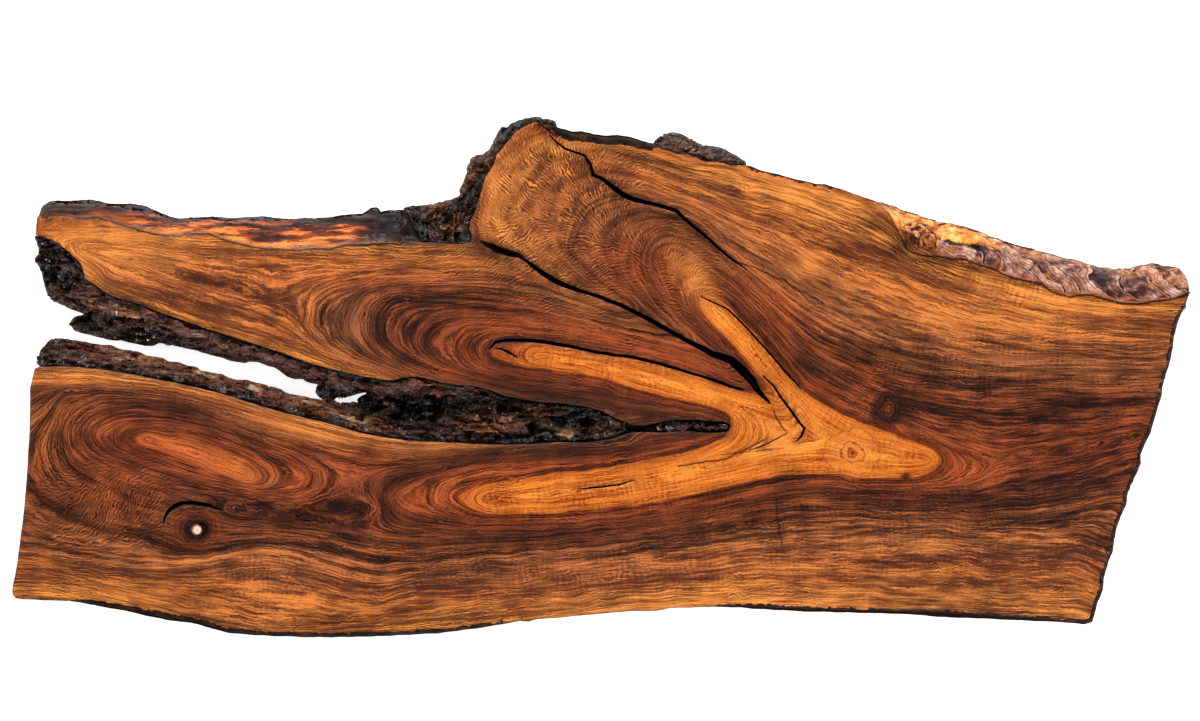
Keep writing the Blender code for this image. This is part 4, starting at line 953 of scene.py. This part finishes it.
def rough_bark(name, title, direction, plate_length, plate_width, height):
    """The CAD's bark with a fine skin of plates along the limb, deep seams between them, and small grit."""
    bark = copy_of_solid(name, title)
    remesh = bark.modifiers.new("fine_skin", "REMESH")
    remesh.mode = "VOXEL"
    remesh.voxel_size = BARK_NET / 1000
    bpy.ops.object.modifier_apply(modifier=remesh.name)
    points = corners_mm(bark)
    start = points.copy()
    normals = corner_normals(bark)
    c, s = math.cos(math.radians(direction)), math.sin(math.radians(direction))
    seam = np.zeros(len(points))
    ridge = np.zeros(len(points))
    away = np.zeros(len(points))
    for i, (px, py, pz) in enumerate(points):
        spot = Vector(((px * c + py * s) / plate_length, (-px * s + py * c) / plate_width, pz / plate_width))
        spot += 0.45 * noise.noise_vector(spot * 0.9) + 0.06 * noise.noise_vector(spot * 3.0)
        reach = noise.voronoi(spot)[0]
        groove = min(1.0, (reach[1] - reach[0]) / 0.30)
        crest = 1.0 - min(1.0, 2.4 * abs(noise.noise(spot * 1.15 + Vector((5.0, 1.0, 0.0)))))
        small = 1.0 - min(1.0, 2.4 * abs(noise.noise(Vector((spot[0] * 3.4, spot[1] * 2.3, spot[2] * 2.3)))))
        grit = noise.fractal(Vector((px, py, pz)) / 4.5, 1.0, 2.0, 2)
        lump = noise.noise(Vector((px / 15.0, py / 15.0, pz / 15.0)))
        distance = wood_near.find((px, py, pz))[2]
        free = min(1.0, max(0.0, (distance - 0.8) / 4.0))
        upright = abs(normals[i, 2])
        out = height * (0.35 * groove + 0.85 * crest - 0.95 * upright - 0.55 * (1.0 - upright) + 0.5 * lump
                        + 0.42 * (small - 0.5) + 0.07 * grit)
        # Where the bark sinks into seams between its plates, for the painted shade in them.
        seam[i] = (1.0 - groove) * (1.0 - 0.6 * crest)
        ridge[i] = crest * groove
        away[i] = distance
        points[i] += normals[i] * out * free
    side = np.abs(normals[:, 2]) < 0.6
    moved = points - start
    sideways = np.linalg.norm(moved[:, :2], axis=1)
    limit = np.where(side, SIDEWAYS_ON_WALLS, SIDEWAYS_ON_TOP)
    shrink = np.where(sideways > limit, limit / np.maximum(sideways, 1e-9), 1.0)
    points[:, :2] = start[:, :2] + moved[:, :2] * shrink[:, None]
    points[:, 2] = np.clip(points[:, 2], BARK_LOWEST, BARK_HIGHEST)
    points = np.clip(points, low, high)
    set_corners_mm(bark, points)
    # Bark within a few millimetres of the wood, for painted shade in the gap between them.
    painted_shade_by_wood = smooth_step(4.5 - away, 0.0, 2.5)
    inner_bark = smooth_step(away, 3.0, 6.0) * smooth_step(24.0 - away, 0.0, 9.0)
    store(bark, "seam", seam, ridge, painted_shade_by_wood)
    store(bark, "tints", laid_spots(INNER_BARK, start[:, 0], start[:, 1]) * inner_bark,
          laid_spots(BROWN_FLAKES_AND_WARM_HIGHLIGHTS, start[:, 0], start[:, 1]), laid_spots(PALE_CHIPS_AND_GLINTS, start[:, 0], start[:, 1]))
    return bark


barks = []
for name, plates in BARK_PLATES.items():
    bark = rough_bark(name, name.replace("bark_", "walnut_bark_"), *plates)
    barks.append(bark)
    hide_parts(name)
    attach(bark, "root")

charred = Recipe("black_bark")
seams = charred.parts(charred.kept("seam"))
tints = charred.parts(charred.kept("tints"))
grit_noise = charred.noise(charred.mm, 0.3, 5.0, 0.7)
patch_noise = charred.noise(charred.mm, 0.04, 3.0, 0.6)
fibrous = charred.noise(charred.stretch(charred.mm, 0.05, 0.4, 0.4), 1.0, 4.0, 0.7)
bark_colour = charred.ramp(fibrous, (0.38, (4, 3, 3)), (0.54, (14, 10, 9)), (0.66, (42, 26, 20)),
    (0.78, (96, 60, 42)))
# Painted highlight: the crests of the bark plates are painted tan, less so in the pocket.
painted_crest_highlight = charred.span(seams[1], 0.6, 1.0) * charred.span(patch_noise, 0.45, 0.6, 0.1, 0.9)
bark_from_left, bark_from_near = charred.from_corner()
in_pocket = charred.span(bark_from_left, 370, 430) * charred.span(bark_from_near, 330, 300)
bark_colour = charred.mix(in_pocket * 0.75, bark_colour, (6, 5, 5))
painted_crest_highlight = painted_crest_highlight * (1.0 - in_pocket * 0.6)
bark_colour = charred.mix(painted_crest_highlight, bark_colour, charred.ramp(grit_noise, (0.38, (30, 20, 16)),
    (0.56, (96, 62, 42)), (0.68, (176, 126, 88))))
bark_colour = charred.mix(tints[0] * 0.9, bark_colour, charred.ramp(fibrous, (0.35, (38, 20, 17)),
    (0.5, (98, 54, 44)), (0.65, (150, 94, 74))))
# Brown flakes, and the painted warm highlights.
bark_colour = charred.mix(tints[1] * charred.span(grit_noise, 0.36, 0.55), bark_colour,
    charred.ramp(fibrous, (0.35, (50, 24, 14)), (0.5, (136, 72, 36)), (0.64, (226, 150, 98))))
# Painted shade: the seams between the bark plates are painted near-black.
bark_colour = charred.mix(charred.span(seams[0], 0.2, 0.8, 0.0, 0.95), bark_colour, (4, 3, 3))
# Painted shade: the bark next to the wood is painted near-black, as in the gap between them.
bark_colour = charred.mix(seams[2] * 0.95, bark_colour, (5, 4, 4))
# Pale chips, and the painted glints.
bark_colour = charred.mix(charred.span(tints[2], 0.35, 0.7), bark_colour,
    charred.ramp(fibrous, (0.35, (150, 104, 70)), (0.65, (232, 196, 158))))
wrinkles = charred.noise(charred.stretch(charred.mm, 0.05, 0.24, 0.2), 1.0, 4.0, 0.65)
splinters = charred.noise(charred.stretch(charred.mm, 0.16, 0.55, 0.5), 1.0, 4.0, 0.7)
creased = charred.bump(wrinkles, 0.003, 0.7)
charred.finish({"Base Color": bark_colour, "Roughness": charred.span(patch_noise, 0.38, 0.62, 0.07, 0.18),
                "Specular IOR Level": 0.7, "Normal": charred.bump(splinters, 0.0012, 0.8, creased)})
dull = charred.material.copy()
dull.name = "dull_bark"
dull.node_tree.nodes["Principled BSDF"].inputs["Specular IOR Level"].default_value = 0.0
for bark in barks:
    bark.data.materials.append(charred.material)
    bark.data.materials.append(dull)
    bark.data.polygons.foreach_set("material_index", [int(face.normal.z < DULL_BELOW) for face in bark.data.polygons])
    select_only(bark)
    bpy.ops.object.shade_smooth_by_angle(angle=math.radians(BARK_CREASE))


# The core of the round knot at lower left: a small plug of pale sound wood, cut across, sitting in its dark ring.
# It is a turned disc with a slightly worn rim, and its own fine rings round a pith a little off its middle.
CORE_RADIUS = 5.7
CORE_HEIGHTS = (40.5, 49.5)
CORE_RIM = 0.5
CORE_RING = 0.9
CORE_CREASE = 40

bpy.ops.object.select_all(action="DESELECT")
middle = place(*KNOT_AT, sum(CORE_HEIGHTS) / 2)
bpy.ops.mesh.primitive_cylinder_add(
    vertices=48, radius=CORE_RADIUS / 1000, depth=(CORE_HEIGHTS[1] - CORE_HEIGHTS[0]) / 1000, location=middle,
    end_fill_type="NGON")
core = bpy.context.active_object
core.name = "pale_knot_core"
bpy.ops.object.transform_apply(location=True, rotation=True, scale=True)
bpy.ops.object.mode_set(mode="EDIT")
bpy.ops.mesh.select_mode(type="FACE")
bpy.ops.mesh.select_all(action="DESELECT")
bpy.ops.object.mode_set(mode="OBJECT")
for face in core.data.polygons:
    face.select = face.normal.z > 0.9
bpy.ops.object.mode_set(mode="EDIT")
bpy.ops.mesh.bevel(offset=CORE_RIM / 1000, segments=3)
for _ in range(4):
    bpy.ops.mesh.inset(thickness=CORE_RING / 1000)
bpy.ops.mesh.select_all(action="SELECT")
bpy.ops.mesh.quads_convert_to_tris()
bpy.ops.object.mode_set(mode="OBJECT")
core_points = corners_mm(core)
for point in core_points:
    if point[2] > CORE_HEIGHTS[1] - 0.2:
        point[2] += 0.16 * noise.noise(Vector(point) / 2.0) - 0.1
set_corners_mm(core, core_points)

pale = Recipe("pale_knot_wood")
PITH_AT = (KNOT_AT[0] + 1.0 - LENGTH / 2, KNOT_AT[1] - 0.6 - WIDTH / 2, 0.0)
from_pith = pale.node("VectorMath", {0: pale.stretch(pale.mm, 1.0, 1.0, 0.0), 1: PITH_AT}, "Value",
    operation="DISTANCE")
swirl = from_pith * 0.16 + pale.noise(pale.mm, 0.4, 3.0) * 0.35
pale_colour = pale.ramp(swirl, (0.1, (160, 104, 66)), (0.3, (228, 190, 148)), (0.55, (240, 212, 178)),
    (0.8, (222, 176, 128)), (0.98, (120, 66, 36)))
pale.finish({"Base Color": pale_colour, "Roughness": pale.span(swirl, 0.0, 1.0, 0.38, 0.55),
             "Normal": pale.bump(swirl, 0.0002, 0.5)})
core.data.materials.append(pale.material)
select_only(core)
bpy.ops.object.shade_smooth_by_angle(angle=math.radians(CORE_CREASE))
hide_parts("knot_core")
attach(core, "root")


# The table and the light: a plain white top, a pale room all round, four broad lamps set low round the slab, so
# that the flat face keeps its depth of colour, and the camera straight above, as the photograph was taken.
WALL_AWAY = 30.0
WALL_HEIGHT = 5.0
TABLE_DROP = 0.0005

bpy.ops.object.select_all(action="DESELECT")
bpy.ops.mesh.primitive_plane_add(size=2 * WALL_AWAY, location=(0.0, 0.0, -TABLE_DROP))
table_top = bpy.context.active_object
table_top.name = "white_table_top"
paint = Recipe("white_paint")
paint_colour = paint.ramp(paint.noise(paint.mm, 0.004, 2.0), (0.3, (214, 214, 214)), (0.7, (220, 220, 220)))
paint.finish({"Base Color": paint_colour, "Roughness": 0.9, "Emission Color": (1.0, 1.0, 1.0, 1.0),
              "Emission Strength": 0.8})
table_top.data.materials.append(paint.material)
bpy.ops.mesh.primitive_cylinder_add(vertices=96, radius=WALL_AWAY, depth=WALL_HEIGHT,
    location=(0.0, 0.0, WALL_HEIGHT / 2 - TABLE_DROP), end_fill_type="NOTHING")
far_wall = bpy.context.active_object
far_wall.name = "white_wall_far_off"
far_wall.data.materials.append(paint.material)

room = bpy.data.worlds.new("white_room")
room.use_nodes = True
room.node_tree.nodes["Background"].inputs["Color"].default_value = (1.0, 1.0, 1.0, 1.0)
room.node_tree.nodes["Background"].inputs["Strength"].default_value = 0.12
bpy.context.scene.world = room
LAMPS = (
    ("left_lamp", (-2.6, 0.6, 1.5), 0.9, 25.0), ("far_lamp", (0.4, 2.7, 1.5), 1.1, 27.0),
    ("right_lamp", (2.6, -0.4, 1.5), 1.1, 31.0), ("near_lamp", (-0.3, -2.6, 1.6), 1.1, 18.0),
    ("small_lamp", (-0.7, 1.3, 1.7), 0.1, 28.0), ("low_small_lamp", (0.9, -1.3, 1.7), 0.1, 15.0),
)
for title, place_at, size, power in LAMPS:
    lamp = bpy.data.lights.new(title, "AREA")
    lamp.shape = "SQUARE"
    lamp.size = size
    lamp.energy = power
    holder = bpy.data.objects.new(title, lamp)
    holder.location = place_at
    holder.rotation_euler = (Vector((0, 0, 0)) - Vector(place_at)).to_track_quat("-Z", "Y").to_euler()
    bpy.context.scene.collection.objects.link(holder)

LENS = 120.0
SENSOR = 36.0
FRAME_WIDTH = 1.2408
FRAME_MIDDLE = (-0.001, 0.017)
camera_data = bpy.data.cameras.new("camera")
camera_data.lens = LENS
camera_data.sensor_width = SENSOR
camera = bpy.data.objects.new("camera", camera_data)
camera.location = (*FRAME_MIDDLE, THICKNESS / 1000 + FRAME_WIDTH * LENS / SENSOR)
bpy.context.scene.collection.objects.link(camera)
bpy.context.scene.camera = camera
bpy.context.scene.view_settings.view_transform = "Standard"
